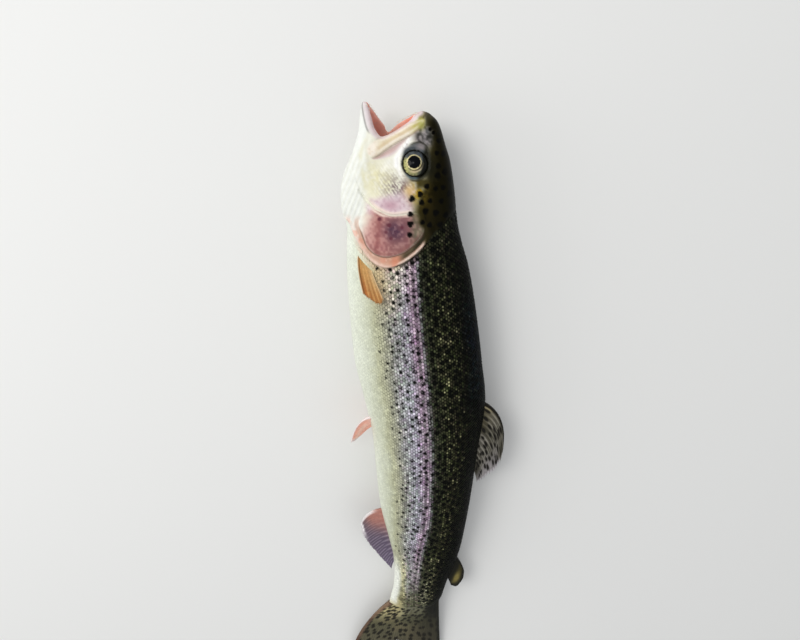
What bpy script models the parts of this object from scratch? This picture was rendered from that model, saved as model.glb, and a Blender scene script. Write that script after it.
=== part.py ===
"""Rainbow trout, life size, a still model lying on its right flank with its mouth open.

Frame: the head points to +Y, the back to +X and the left flank up to +Z.  The
fish rests on z = 0 on a flat of its right flank.  The origin is under the
middle of the whole fish.

Design coordinates, in millimetres:
    s   distance back from the snout, along the body
    x   height across the body, from belly to back, 0 near the jaw line's level
    w   distance out of the fish's middle plane, + to the left flank (up)
"""
import bpy
import bmesh
from math import sin, cos, pi, copysign, hypot
from mathutils import Vector

for ob in list(bpy.data.objects):
    bpy.data.objects.remove(ob, do_unlink=True)

# ---------------------------------------------------------------- main sizes
MM = 0.001
CENTRE_X = 11.132        # middle of the whole fish, across (belly to back)
CENTRE_S = 147.27        # middle of the whole fish, along
GAP = 0.3                # gap that touching pieces keep
HALF_GAP = 0.5 * GAP
COVER_DEPTH = 2.2        # thickness of a gill cover
MAXILLA_DEPTH = 1.2      # thickness of a maxilla
EYE_RADIUS = 5.6         # half width of the eyeball in its socket
EYE_DEPTH = 3.6          # half depth of the eyeball, out of the head
EYE_S, EYE_X, EYE_W = 21.4, 5.6, 8.6
EYE_TILT = 0.26          # the eyes look out and a little ahead, square to the head's side
BODY_SIDES = 28          # points round a body section
JAW_SIDES = 18           # points round a jaw section
FIN_TIP_HALF = 0.3       # half thickness of a fin at its margin


def profile(*knots):
    """Smooth curve through (station, value) knots that never overshoots them."""
    xs = [float(k[0]) for k in knots]
    ys = [float(k[1]) for k in knots]
    h = [b - a for a, b in zip(xs, xs[1:])]
    d = [(q - p) / g for p, q, g in zip(ys, ys[1:], h)]
    m = [d[0]]
    for i in range(1, len(d)):
        if d[i - 1] * d[i] <= 0.0:
            m.append(0.0)
        else:
            p = 2.0 * h[i] + h[i - 1]
            q = h[i] + 2.0 * h[i - 1]
            m.append((p + q) / (p / d[i - 1] + q / d[i]))
    m.append(d[-1])

    def value(x):
        if x <= xs[0]:
            return ys[0]
        if x >= xs[-1]:
            return ys[-1]
        i = 0
        while x > xs[i + 1]:
            i += 1
        t = (x - xs[i]) / h[i]
        t2, t3 = t * t, t * t * t
        return (ys[i] * (2 * t3 - 3 * t2 + 1) + m[i] * h[i] * (t3 - 2 * t2 + t)
                + ys[i + 1] * (3 * t2 - 2 * t3) + m[i + 1] * h[i] * (t3 - t2))

    return value


# ------------------------------------------------- the body's outline, by station
back = profile((1.0, 8.7), (1.8, 11.4), (3.0, 13.1), (4.6, 14.8), (6.4, 15.9), (9.0, 16.9), (14.3, 18.6), (20, 20.5),
               (30, 22.4), (46, 24.5), (55.5, 27.0), (63, 29.4), (80, 33.0), (109, 37.5),
               (129, 39.9), (156, 37.3), (184, 35.0), (202, 33.1), (211, 32.0), (220, 30.4),
               (226, 28.8), (233, 26.8), (240, 25.0), (246, 23.7), (252, 22.3), (256, 20.3), (259.5, 15.6), (261.8, 9.0))
belly = profile((1.0, 8.3), (2.7, 3.0), (5.4, -1.5), (8, -5.0), (11.5, -10.5), (16, -12.8),
                (22, -15.5), (30, -18.6), (38, -20.9), (46, -22.5), (66, -23.3), (94, -22.1),
                (109, -20.8), (124, -17.6), (134, -15.6), (145, -13.5), (167, -11.8),
                (184, -10.5), (208, -6.1), (221, -3.8), (233, -3.3), (243, -3.9), (251, -5.4),
                (255.5, -6.1), (258.5, -3.4), (261.8, 6.5))
half = profile((1.0, 0.5), (1.5, 2.6), (2.5, 3.9), (4.6, 5.4), (8, 7.2), (12, 8.8), (20, 11.4),
               (30, 13.6), (40, 15.2), (50, 16.2), (60, 16.8), (80, 17.2), (100, 17.5),
               (125, 17.0), (150, 15.5), (184, 12.5), (208, 9.8), (233, 7.4), (245, 5.9),
               (254, 3.4), (260, 1.5), (261.8, 0.7))
widest = profile((1.0, 8.5), (5, 7.0), (12, 4.0), (20, 1.0), (30, -1.0), (50, 0.5), (80, 4.0),
                 (109, 7.5), (129, 10.5), (156, 12.0), (208, 12.8), (233, 11.0), (246, 8.5),
                 (261.8, 7.8))
top_form = profile((1.0, 2.3), (30, 2.3), (60, 2.0), (262, 2.0))
low_form = profile((1.0, 3.2), (11.5, 3.0), (20, 2.3), (60, 2.1), (262, 2.1))
BODY_STATIONS = (1.0, 1.7, 2.7, 4.3, 6.3, 8.8, 11.8, 15.2, 19, 23, 27, 31, 36, 41, 46, 51, 56,
                 63, 71, 81, 93, 105, 117, 128, 139, 150, 162, 174, 186, 197, 208, 217, 225,
                 233, 240, 246, 250.5, 254, 257, 259.3, 260.8, 261.8)

# lower jaw, throat and gill membranes, by station
jaw_top = profile((-2.5, -12.4), (0.8, -9.9), (3.8, -7.8), (7.7, -5.1), (11.9, -4.0), (16.2, -3.6),
                  (26, -4.0), (38, -5.0), (46, -9.0), (50, -15.0))
jaw_low = profile((-2.5, -15.0), (0.8, -15.9), (3.8, -16.3), (8, -16.7), (12, -17.8), (16.2, -19.2),
                  (19.4, -20.6), (26.6, -23.6), (32.3, -24.7), (38.5, -24.8), (43, -23.6),
                  (46.5, -22.4), (50, -20.0))
jaw_half = profile((-2.5, 1.2), (-1.6, 2.6), (0.8, 4.4), (3.8, 5.9), (7.7, 7.4), (11.9, 8.6), (16.2, 9.4),
                   (26.6, 10.6), (32.3, 10.9), (38.5, 10.6), (44, 9.2), (50, 5.5))
JAW_STATIONS = (-2.5, -1.5, 0.6, 3.4, 7, 11, 15.5, 20, 25, 30.5, 36, 40.5, 44, 47, 50)

# the hollow of the mouth, by station
mouth_top = profile((-5, 4.0), (1.5, 6.0), (4, 6.6), (8, 5.0), (12, 3.5), (16, 2.0), (24, -1.0),
                    (32, -5.0), (36.5, -7.6))
mouth_low = profile((-5, -13.4), (1.5, -14.3), (4, -14.8), (8, -15.0), (12, -14.9), (16, -14.5),
                    (24, -13.2), (32, -12.0), (36.5, -9.4))
mouth_half = profile((-5, 2.2), (-1, 2.6), (1.5, 2.9), (4, 3.5), (8, 5.0), (12, 6.4), (16, 7.0),
                     (24, 6.5), (32, 4.5), (36.5, 1.0))
MOUTH_STATIONS = (-5, -1, 1.5, 4, 8, 12, 16, 20, 24, 28, 32, 35, 36.5)

# height of the fish's middle plane: the limp tail hangs a little to the floor
mid_height = profile((-6, 16.7), (150, 16.7), (184, 15.3), (208, 13.3), (233, 10.7), (250, 9.0),
                     (262, 7.6), (280, 4.8), (300, 2.1))


def place(s, x, w):
    """Design coordinates to world metres."""
    return Vector(((x - CENTRE_X) * MM, (CENTRE_S - s) * MM, (mid_height(s) + w) * MM))


# ---------------------------------------------------------------- mesh helpers
def mesh_from(verts, faces):
    mesh = bpy.data.meshes.new("shape")
    mesh.from_pydata([tuple(v) for v in verts], [], faces)
    bm = bmesh.new()
    bm.from_mesh(mesh)
    bmesh.ops.recalc_face_normals(bm, faces=bm.faces)
    bmesh.ops.triangulate(bm, faces=bm.faces)
    if bm.calc_volume(signed=True) < 0.0:
        bmesh.ops.reverse_faces(bm, faces=bm.faces)
    bm.to_mesh(mesh)
    bm.free()
    return mesh


def loft(rings):
    """Closed skin over rings of equal count, with flat end faces."""
    n = len(rings[0])
    verts = [v for ring in rings for v in ring]
    faces = []
    for k in range(len(rings) - 1):
        a, b = k * n, (k + 1) * n
        for i in range(n):
            j = (i + 1) % n
            faces.append((a + i, a + j, b + j, b + i))
    faces.append(tuple(range(n)))
    faces.append(tuple(range((len(rings) - 1) * n, len(rings) * n)))
    return mesh_from(verts, faces)


def section(s, top, low, level, width, form_top, form_low, sides):
    """One oval section across the fish at station s."""
    ring = []
    for i in range(sides):
        a = 2.0 * pi * (i + 0.5) / sides
        c, d = cos(a), sin(a)
        form = form_top if c >= 0.0 else form_low
        reach = top - level if c >= 0.0 else level - low
        x = level + copysign(abs(c) ** (2.0 / form), c) * reach
        w = copysign(abs(d) ** (2.0 / form), d) * width
        ring.append(place(s, x, w))
    return ring


def body_loft(inset=0.0):
    rings = []
    for k, s in enumerate(BODY_STATIONS):
        at = s
        if k == 0:
            at = s + inset
        elif k == len(BODY_STATIONS) - 1:
            at = s - inset
        top, low, width = back(s) - inset, belly(s) + inset, half(s) - inset
        level = widest(s)
        if inset > 0.0 and (width < 0.4 or top - low < 2.0):
            continue
        level = min(max(level, low + 0.1), top - 0.1)
        rings.append(section(at, top, low, level, width, top_form(s), low_form(s), BODY_SIDES))
    return loft(rings)


def jaw_loft(inset=0.0):
    rings = []
    for k, s in enumerate(JAW_STATIONS):
        at = s + (inset if k == 0 else 0.0) - (inset if k == len(JAW_STATIONS) - 1 else 0.0)
        top, low, width = jaw_top(s) - inset, jaw_low(s) + inset, jaw_half(s) - inset
        if inset > 0.0 and (width < 0.4 or top - low < 1.0):
            continue
        rings.append(section(at, top, low, 0.55 * top + 0.45 * low, width, 3.0, 2.3, JAW_SIDES))
    return loft(rings)


def mouth_loft():
    rings = []
    for s in MOUTH_STATIONS:
        top, low = mouth_top(s), mouth_low(s)
        rings.append(section(s, top, low, 0.5 * (top + low), mouth_half(s), 2.5, 2.5, JAW_SIDES))
    return loft(rings)


def prism(outline, w_low, w_high):
    """Straight block through the fish over an outline of (s, x) points."""
    n = len(outline)
    verts = []
    for w in (w_low, w_high):
        for s, x in outline:
            verts.append(((x - CENTRE_X) * MM, (CENTRE_S - s) * MM, (16.7 + w) * MM))
    faces = [tuple(range(n)), tuple(range(n, 2 * n))]
    faces += [(i, (i + 1) % n, n + (i + 1) % n, n + i) for i in range(n)]
    return mesh_from(verts, faces)


def gape_cut():
    """The open mouth, cut right through the jaws.  The head is turned a little, so
    the lips of the right side stand closer together than those of the left."""
    layers = [(-40.0, FAR_GAPE), (-8.0, FAR_GAPE), (8.0, GAPE), (40.0, GAPE)]
    n = len(GAPE)
    verts = [((x - CENTRE_X) * MM, (CENTRE_S - s) * MM, (16.7 + w) * MM)
             for w, outline in layers for s, x in outline]
    faces = [tuple(range(n)), tuple(range(3 * n, 4 * n))]
    for k in range(3):
        a, b = k * n, (k + 1) * n
        faces += [(a + i, a + (i + 1) % n, b + (i + 1) % n, b + i) for i in range(n)]
    return mesh_from(verts, faces)


def ribbon(line, thickness=GAP):
    """Outline of a thin band along a polyline of (s, x) points."""
    left, right = [], []
    for i, (s, x) in enumerate(line):
        a = line[max(i - 1, 0)]
        b = line[min(i + 1, len(line) - 1)]
        ds, dx = b[0] - a[0], b[1] - a[1]
        r = hypot(ds, dx)
        ns, nx = -dx / r * 0.5 * thickness, ds / r * 0.5 * thickness
        left.append((s + ns, x + nx))
        right.append((s - ns, x - nx))
    return left + right[::-1]


def grown(outline, by):
    """Outline moved outwards by a distance."""
    area = sum(a[0] * b[1] - b[0] * a[1] for a, b in zip(outline, outline[1:] + outline[:1]))
    side = 1.0 if area > 0.0 else -1.0
    result = []
    n = len(outline)
    for i in range(n):
        p, q, r = outline[i - 1], outline[i], outline[(i + 1) % n]
        e1 = (q[0] - p[0], q[1] - p[1])
        e2 = (r[0] - q[0], r[1] - q[1])
        l1, l2 = hypot(*e1), hypot(*e2)
        n1 = (e1[1] / l1, -e1[0] / l1)
        n2 = (e2[1] / l2, -e2[0] / l2)
        ms, mx = n1[0] + n2[0], n1[1] + n2[1]
        k = 2.0 / max(ms * ms + mx * mx, 1.2)
        result.append((q[0] + side * by * k * ms, q[1] + side * by * k * mx))
    return result


def boolean(target, tool, operation):
    """New closed mesh of target with tool joined, cut away or kept in common."""
    a = bpy.data.objects.new("a", target)
    b = bpy.data.objects.new("b", tool)
    for ob in (a, b):
        bpy.context.scene.collection.objects.link(ob)
    mod = a.modifiers.new("cut", 'BOOLEAN')
    mod.object = b
    mod.operation = operation
    mod.solver = 'EXACT'
    graph = bpy.context.evaluated_depsgraph_get()
    result = bpy.data.meshes.new_from_object(a.evaluated_get(graph))
    bpy.data.objects.remove(a)
    bpy.data.objects.remove(b)
    bm = bmesh.new()
    bm.from_mesh(result)
    bmesh.ops.triangulate(bm, faces=bm.faces)
    bm.to_mesh(result)
    bm.free()
    return result


def tidy(mesh):
    """Triangles only, with doubled corners and slivers from the cuts removed."""
    bm = bmesh.new()
    bm.from_mesh(mesh)
    bmesh.ops.remove_doubles(bm, verts=bm.verts, dist=2e-6)
    bmesh.ops.dissolve_degenerate(bm, edges=bm.edges, dist=2e-6)
    bmesh.ops.dissolve_limit(bm, angle_limit=0.012, use_dissolve_boundaries=False,
                             verts=bm.verts, edges=bm.edges)
    bmesh.ops.triangulate(bm, faces=bm.faces)
    bmesh.ops.recalc_face_normals(bm, faces=bm.faces)
    bm.to_mesh(mesh)
    bm.free()
    return mesh


def islands(mesh):
    """The mesh's separate bodies, largest first, each as its own mesh."""
    bm = bmesh.new()
    bm.from_mesh(mesh)
    bm.faces.ensure_lookup_table()
    seen = set()
    groups = []
    for start in bm.faces:
        if start.index in seen:
            continue
        seen.add(start.index)
        group, stack = [], [start]
        while stack:
            f = stack.pop()
            group.append(f)
            for e in f.edges:
                for g in e.link_faces:
                    if g.index not in seen:
                        seen.add(g.index)
                        stack.append(g)
        groups.append(group)
    meshes = []
    for group in groups:
        index = {}
        verts, faces = [], []
        for f in group:
            face = []
            for v in f.verts:
                if v.index not in index:
                    index[v.index] = len(verts)
                    verts.append(v.co.copy())
                face.append(index[v.index])
            faces.append(face)
        piece = bpy.data.meshes.new("piece")
        piece.from_pydata([tuple(v) for v in verts], [], faces)
        low = Vector([min(v[i] for v in verts) for i in range(3)])
        high = Vector([max(v[i] for v in verts) for i in range(3)])
        meshes.append((piece, low, high))
    bm.free()
    meshes.sort(key=lambda m: -(m[2] - m[1]).x * (m[2] - m[1]).y * (m[2] - m[1]).z)
    return meshes


def eyeball(side, grow=0.0):
    bm = bmesh.new()
    bmesh.ops.create_uvsphere(bm, u_segments=16, v_segments=8, radius=1.0)
    centre = place(EYE_S, EYE_X, side * EYE_W)
    for v in bm.verts:
        along, out = v.co.y * (EYE_RADIUS + grow), v.co.z * (EYE_DEPTH + grow)
        turn = side * EYE_TILT
        v.co = Vector((centre.x + v.co.x * (EYE_RADIUS + grow) * MM,
                       centre.y + (along * cos(turn) + out * sin(turn)) * MM,
                       centre.z + (out * cos(turn) - along * sin(turn)) * MM))
    mesh = bpy.data.meshes.new("eye")
    bm.to_mesh(mesh)
    bm.free()
    return mesh


# ---------------------------------------------------------------- fins
def plate(base, bend, tip, root_half, columns, rows, tip_half=FIN_TIP_HALF, taper=0.45):
    """Thin curved blade.  base, bend and tip give (s, x, w) for u from 0 to 1
    along the fin's foot; each ray runs from base through bend to tip."""
    def point(u, v):
        p, q, r = base(u), bend(u), tip(u)
        k0, k1, k2 = (1 - v) ** 2, 2 * v * (1 - v), v * v
        return place(*[k0 * a + k1 * b + k2 * c for a, b, c in zip(p, q, r)])

    grid = [[point(i / columns, j / rows) for j in range(rows + 1)] for i in range(columns + 1)]
    upper, lower = [], []
    for i in range(columns + 1):
        for j in range(rows + 1):
            along = grid[min(i + 1, columns)][j] - grid[max(i - 1, 0)][j]
            out = grid[i][min(j + 1, rows)] - grid[i][max(j - 1, 0)]
            if along.length < 1e-7:
                along = grid[min(i + 1, columns)][j - 1] - grid[max(i - 1, 0)][j - 1]
            normal = along.cross(out).normalized()
            v = j / rows
            t = (tip_half + (root_half - tip_half) * max(0.0, 1.0 - v / taper)) * MM
            upper.append(grid[i][j] + normal * t)
            lower.append(grid[i][j] - normal * t)
    n = rows + 1
    count = len(upper)
    faces = []
    for i in range(columns):
        for j in range(rows):
            a, b, c, d = i * n + j, (i + 1) * n + j, (i + 1) * n + j + 1, i * n + j + 1
            faces.append((a, b, c, d))
            faces.append((count + d, count + c, count + b, count + a))
    rim = ([i * n for i in range(columns + 1)]
           + [columns * n + j for j in range(1, n)]
           + [i * n + rows for i in range(columns - 1, -1, -1)]
           + [j for j in range(rows - 1, 0, -1)])
    for k in range(len(rim)):
        a, b = rim[k], rim[(k + 1) % len(rim)]
        faces.append((b, a, count + a, count + b))
    return mesh_from(upper + lower, faces)


def mix(a, b, u):
    return tuple(p + (q - p) * u for p, q in zip(a, b))


def along_curve(*knots):
    """Point on a curve through (u, s, x, w) knots."""
    s = profile(*[(k[0], k[1]) for k in knots])
    x = profile(*[(k[0], k[2]) for k in knots])
    w = profile(*[(k[0], k[3]) for k in knots])
    return lambda u: (s(u), x(u), w(u))


def flank(s, x, side):
    """How far out the body's surface is at a station and height."""
    level = widest(s)
    f = (x - level) / (back(s) - level) if x > level else (level - x) / (level - belly(s))
    form = top_form(s) if x > level else low_form(s)
    return side * half(s) * (1.0 - min(abs(f), 0.999) ** form) ** (1.0 / form)


def dorsal_fin():
    return plate(lambda u: (129.5 + 34.5 * u, back(129.5 + 34.5 * u) - 2.0, 0.0),
                 lambda u: mix((135.5, 52.0, 0.0), (169.0, 37.2, 0.0), u),
                 along_curve((0, 157.5, 49.4, -0.5), (0.2, 163.6, 49.0, -1.0), (0.45, 168.4, 46.6, -1.2),
                             (0.75, 172.6, 41.8, -1.0), (1, 175.0, 37.9, -0.4)),
                 1.1, 12, 7)


def adipose_fin():
    return plate(lambda u: (221.0 + 14.0 * u, back(221.0 + 14.0 * u) - 1.5, 0.0),
                 lambda u: mix((227.0, 33.0, 0.0), (239.6, 26.6, 0.0), u),
                 along_curve((0, 232.9, 34.1, 0), (0.3, 237.0, 33.9, 0), (0.6, 241.2, 32.1, 0),
                             (0.85, 243.6, 29.9, 0), (1, 242.6, 27.4, 0)),
                 0.9, 8, 5, 0.38, 1.0)


def anal_fin():
    return plate(lambda u: (190.5 + 32.0 * u, belly(190.5 + 32.0 * u) + 2.0, 0.0),
                 lambda u: mix((190.4, -17.4, 0.0), (226.5, -4.2, 0.0), u),
                 along_curve((0, 201.2, -20.2, -0.4), (0.18, 205.8, -19.8, -0.8), (0.4, 212.2, -17.4, -0.8),
                             (0.7, 221.6, -11.4, -0.5), (1, 231.2, -4.5, -0.2)),
                 1.1, 10, 6)


def caudal_fin():
    return plate(lambda u: (255.0 - 6.0 * u + 4.0 * sin(pi * u), -5.4 + 26.4 * u, 0.0),
                 lambda u: (269.0 - 1.0 * u, -20.5 + 41.9 * u, 0.0),
                 along_curve((0, 294.5, -27.6, 0.0), (0.12, 294.2, -22.5, 0.0), (0.3, 291.0, -12.5, 0.0),
                             (0.5, 288.2, -1.5, 0.0), (0.68, 290.4, 7.5, 0.0), (0.88, 295.4, 17.2, 0.0),
                             (1, 297.0, 23.2, 0.0)),
                 1.5, 18, 6, FIN_TIP_HALF, 0.5)


def pectoral_fin(side):
    if side > 0:
        return plate(lambda u: mix((57.6, -17.6, 9.6), (62.2, -12.4, 12.6), u),
                     lambda u: mix((62.5, -17.8, 15.5), (67.0, -10.0, 16.8), u),
                     along_curve((0, 71.8, -15.0, 19.6), (0.3, 74.4, -12.2, 20.4), (0.7, 76.6, -8.4, 20.0),
                                 (1, 75.2, -6.4, 18.8)),
                     0.9, 7, 7)
    return plate(lambda u: mix((57.6, -17.6, -9.6), (62.2, -12.4, -12.6), u),
                 lambda u: mix((64.0, -18.6, -12.6), (69.0, -12.0, -14.9), u),
                 along_curve((0, 77.0, -17.2, -13.4), (0.3, 81.0, -14.8, -14.6), (0.7, 82.5, -12.0, -15.6),
                             (1, 79.5, -10.4, -15.9)),
                 0.7, 7, 7)


def pelvic_fin(side):
    if side > 0:
        return plate(lambda u: mix((135.0, -13.6, 5.4), (140.8, -12.6, 2.0), u),
                     lambda u: mix((137.0, -21.2, 6.2), (143.4, -15.2, 1.0), u),
                     along_curve((0, 149.4, -23.0, 4.4), (0.35, 149.6, -21.8, 3.0), (0.75, 148.8, -20.3, 1.4),
                                 (1, 147.2, -18.7, 0.8)),
                     0.8, 6, 6)
    return plate(lambda u: mix((135.4, -13.6, -5.4), (140.6, -12.8, -2.0), u),
                 lambda u: mix((142.0, -13.6, -10.4), (145.5, -14.0, -5.4), u),
                 along_curve((0, 151.0, -10.8, -12.4), (0.4, 153.4, -10.6, -11.2), (0.8, 152.0, -11.6, -8.4),
                             (1, 149.0, -12.4, -6.4)),
                 0.7, 6, 6)


# ---------------------------------------------------------------- the parting lines
JAW_CORNER = (11.5, -7.7)
JAW_HINGE = (21.5, -12.5)
GAPE = [(-12, 8.9), (1.0, 8.7), (2.7, 6.0), (5.4, 4.4), (8.0, 0.0), (10.0, -4.0), JAW_CORNER,
        (9.8, -9.6), (7.5, -11.4), (3.7, -12.5), (-1.8, -13.5), (-12, -14.0)]
FAR_GAPE = [(-12, 8.9), (1.0, 8.5), (1.6, 6.4), (3.1, 3.6), (4.2, 0.8), (5.3, -1.4), (6.3, -3.4),
            (5.4, -5.2), (3.6, -7.3), (0.6, -9.7), (-1.8, -12.4), (-12, -13.4)]
JAW_LINE = [(6.2, -3.6), (11.2, -7.6), JAW_HINGE, (20.3, -45.0)]
THROAT_LINE = [(21.3, -12.4), (30.0, -15.3), (40.0, -17.6), (48.0, -20.0), (53.0, -24.0), (55.0, -45.0)]
GILL_OPENING = [(47.6, -19.9), (52.8, -17.0), (58.3, -13.0), (61.0, -9.2), (61.8, -5.0), (60.2, 0.0),
                (56.8, 5.4), (52.4, 10.0), (47.5, 13.6), (45.2, 20.0), (44.6, 50.0)]
TRUNK_END = [(188.0, -60.0), (188.0, 80.0)]
COVER = [(38.4, -12.6), (40.4, -6.0), (40.6, 0.0), (39.6, 6.4), (43.0, 9.4), (47.6, 11.2),
         (51.9, 9.2), (56.0, 4.8), (59.3, -0.4), (60.8, -5.2), (60.1, -8.9), (57.6, -12.2),
         (52.4, -16.0), (47.0, -18.8), (42.4, -17.0)]
MAXILLA = [(3.0, 9.9), (5.2, 4.0), (7.8, -0.4), (9.7, -4.4), (11.2, -8.0), (12.7, -11.0), (14.4, -12.9),
           (16.6, -13.2), (18.4, -11.8), (18.3, -9.6), (15.7, -5.9), (13.0, -2.0), (11.1, 2.0),
           (8.9, 6.0), (5.6, 10.2)]


def whole(inset=0.0):
    return boolean(body_loft(inset), jaw_loft(inset), 'UNION')


def named(mesh, name, colour, roughness, metallic=0.0, coat=0.0):
    mesh = tidy(mesh)
    mesh.name = name
    ob = bpy.data.objects.new(name, mesh)
    mat = bpy.data.materials.new(name)
    mat.use_nodes = True
    bsdf = mat.node_tree.nodes["Principled BSDF"]
    bsdf.inputs["Base Color"].default_value = (*colour, 1.0)
    bsdf.inputs["Roughness"].default_value = roughness
    bsdf.inputs["Metallic"].default_value = metallic
    bsdf.inputs["Coat Weight"].default_value = coat
    mesh.materials.clear()
    mesh.materials.append(mat)
    mesh.shade_smooth()
    mesh.set_sharp_from_angle(angle=0.6)
    bpy.context.scene.collection.objects.link(ob)
    ob.parent = root
    return ob


def main():
    flesh = whole()
    flesh = boolean(flesh, gape_cut(), 'DIFFERENCE')
    flesh = boolean(flesh, mouth_loft(), 'DIFFERENCE')
    # the flat of the right flank that the fish lies on
    floor = [(-40, -90), (340, -90), (340, 110), (-40, 110)]
    flesh = boolean(flesh, prism(floor, -60.0, -16.7), 'DIFFERENCE')
    for line in (TRUNK_END, GILL_OPENING, THROAT_LINE, JAW_LINE):
        flesh = boolean(flesh, prism(ribbon(line), -40, 40), 'DIFFERENCE')

    parts = {}
    for mesh, low, high in islands(flesh)[:5]:
        s_front = CENTRE_S - high.y / MM
        s_back = CENTRE_S - low.y / MM
        x_top = high.x / MM + CENTRE_X
        if s_back > 230:
            parts["tail"] = mesh
        elif s_back > 150:
            parts["trunk"] = mesh
        elif x_top > 15:
            parts["head"] = mesh
        elif s_front < 0:
            parts["lower_jaw"] = mesh
        else:
            parts["throat"] = mesh

    inner = whole(COVER_DEPTH)
    deeper = whole(COVER_DEPTH + GAP)
    shell = whole(MAXILLA_DEPTH)
    lower_shell = whole(MAXILLA_DEPTH + GAP)
    everything = boolean(whole(), prism(floor, -60.0, -16.7), 'DIFFERENCE')
    for side, tag in ((1, "_L"), (-1, "_R")):
        reach = (4.0, 45.0) if side > 0 else (-45.0, -4.0)
        cover = boolean(prism(COVER, *reach), inner, 'DIFFERENCE')
        parts["gill_cover" + tag] = islands(boolean(everything, cover, 'INTERSECT'))[0][0]
        pocket = boolean(prism(grown(COVER, GAP), *reach), deeper, 'DIFFERENCE')
        parts["head"] = boolean(parts["head"], pocket, 'DIFFERENCE')
        reach = (1.5, 45.0) if side > 0 else (-45.0, -1.5)
        bone = boolean(prism(MAXILLA, *reach), shell, 'DIFFERENCE')
        bone = boolean(bone, gape_cut(), 'DIFFERENCE')
        parts["maxilla" + tag] = islands(boolean(everything, bone, 'INTERSECT'))[0][0]
        pocket = boolean(prism(grown(MAXILLA, GAP), *reach), lower_shell, 'DIFFERENCE')
        for name in ("head", "lower_jaw"):
            parts[name] = boolean(parts[name], pocket, 'DIFFERENCE')
        parts["head"] = boolean(parts["head"], eyeball(side, GAP), 'DIFFERENCE')
    for name in ("head", "lower_jaw", "throat"):
        parts[name] = islands(parts[name])[0][0]

    around = whole(-GAP)
    fins = {"dorsal_fin": dorsal_fin(), "adipose_fin": adipose_fin(), "anal_fin": anal_fin(),
            "caudal_fin": caudal_fin(), "pectoral_fin_L": pectoral_fin(1),
            "pectoral_fin_R": pectoral_fin(-1), "pelvic_fin_L": pelvic_fin(1),
            "pelvic_fin_R": pelvic_fin(-1)}
    for name, mesh in fins.items():
        parts[name] = islands(boolean(mesh, around, 'DIFFERENCE'))[0][0]

    tongue = []
    for s in (-0.4, 0.6, 3, 7, 12, 17, 22, 25, 26):
        t = (s + 0.4) / 26.4
        width = 3.1 * min(1.0, 0.3 + 2.4 * t) * min(1.0, 0.35 + 4.0 * (1.0 - t))
        low = mouth_low(s) + 0.75
        tongue.append(section(s, low + 1.5 + 0.9 * min(1.0, 3.0 * t) * min(1.0, 3.0 * (1 - t)), low,
                              low + 1.0, min(width, 0.52 * mouth_half(s)), 2.2, 2.0, 14))
    parts["tongue"] = loft(tongue)
    parts["eye_L"] = eyeball(1)
    parts["eye_R"] = eyeball(-1)

    white, flesh_pink = (0.78, 0.78, 0.70), (0.62, 0.30, 0.22)
    named(parts["head"], "head", (0.20, 0.21, 0.13), 0.35, 0.1, 0.4)
    named(parts["lower_jaw"], "lower_jaw", white, 0.35, 0.0, 0.4)
    named(parts["throat"], "throat", white, 0.35, 0.0, 0.4)
    named(parts["tongue"], "tongue", flesh_pink, 0.35, 0.0, 0.3)
    for tag in ("_L", "_R"):
        named(parts["gill_cover" + tag], "gill_cover" + tag, (0.45, 0.24, 0.24), 0.3, 0.3, 0.5)
        named(parts["maxilla" + tag], "maxilla" + tag, (0.58, 0.52, 0.36), 0.35, 0.1, 0.4)
        named(parts["eye" + tag], "eye" + tag, (0.02, 0.02, 0.02), 0.08, 0.0, 1.0)
        named(parts["pectoral_fin" + tag], "pectoral_fin" + tag, (0.50, 0.28, 0.10), 0.4)
        named(parts["pelvic_fin" + tag], "pelvic_fin" + tag, (0.62, 0.30, 0.20), 0.4)
    named(parts["trunk"], "trunk", (0.28, 0.30, 0.22), 0.3, 0.3, 0.5)
    named(parts["tail"], "tail", (0.24, 0.26, 0.18), 0.3, 0.3, 0.5)
    named(parts["caudal_fin"], "caudal_fin", (0.24, 0.23, 0.16), 0.4)
    named(parts["dorsal_fin"], "dorsal_fin", (0.30, 0.28, 0.22), 0.4)
    named(parts["adipose_fin"], "adipose_fin", (0.32, 0.30, 0.08), 0.4)
    named(parts["anal_fin"], "anal_fin", (0.42, 0.22, 0.20), 0.4)


root = bpy.data.objects.new("trout", None)
bpy.context.scene.collection.objects.link(root)
main()
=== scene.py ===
"""The looks of a rainbow trout, life size, lying on its right flank.

Design coordinates, in millimetres, are those of the CAD model:
    s   distance back from the snout, along the body
    x   height across the body, from belly to back
    w   distance out of the fish's middle plane, + to the left flank (up)
"""
import bpy
import numpy as np
from math import radians, pi, sin, cos
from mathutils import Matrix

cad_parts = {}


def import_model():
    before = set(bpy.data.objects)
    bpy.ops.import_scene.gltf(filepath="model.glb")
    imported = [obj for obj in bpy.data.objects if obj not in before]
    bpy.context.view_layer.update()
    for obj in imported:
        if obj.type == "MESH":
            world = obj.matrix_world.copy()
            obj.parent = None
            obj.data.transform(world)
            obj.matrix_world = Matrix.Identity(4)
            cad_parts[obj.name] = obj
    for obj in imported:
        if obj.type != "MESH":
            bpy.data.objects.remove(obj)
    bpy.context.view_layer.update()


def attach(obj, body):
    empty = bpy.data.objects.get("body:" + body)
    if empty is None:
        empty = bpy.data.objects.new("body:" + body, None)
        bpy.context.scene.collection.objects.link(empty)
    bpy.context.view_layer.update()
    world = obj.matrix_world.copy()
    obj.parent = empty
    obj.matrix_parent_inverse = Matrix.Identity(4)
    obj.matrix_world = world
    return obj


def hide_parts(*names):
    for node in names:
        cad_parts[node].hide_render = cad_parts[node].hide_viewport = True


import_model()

MM = 0.001
CENTRE_X = 11.132
CENTRE_S = 147.27
FLOOR_CLEAR = 0.30       # the skin's height over the floor where it rests
HEAD_STEP = 0.46         # size of the skin's mesh on the head
TRUNK_STEP = 1.5         # and along the trunk
EYE_S, EYE_X, EYE_W = 21.4, 5.6, 8.6
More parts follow.
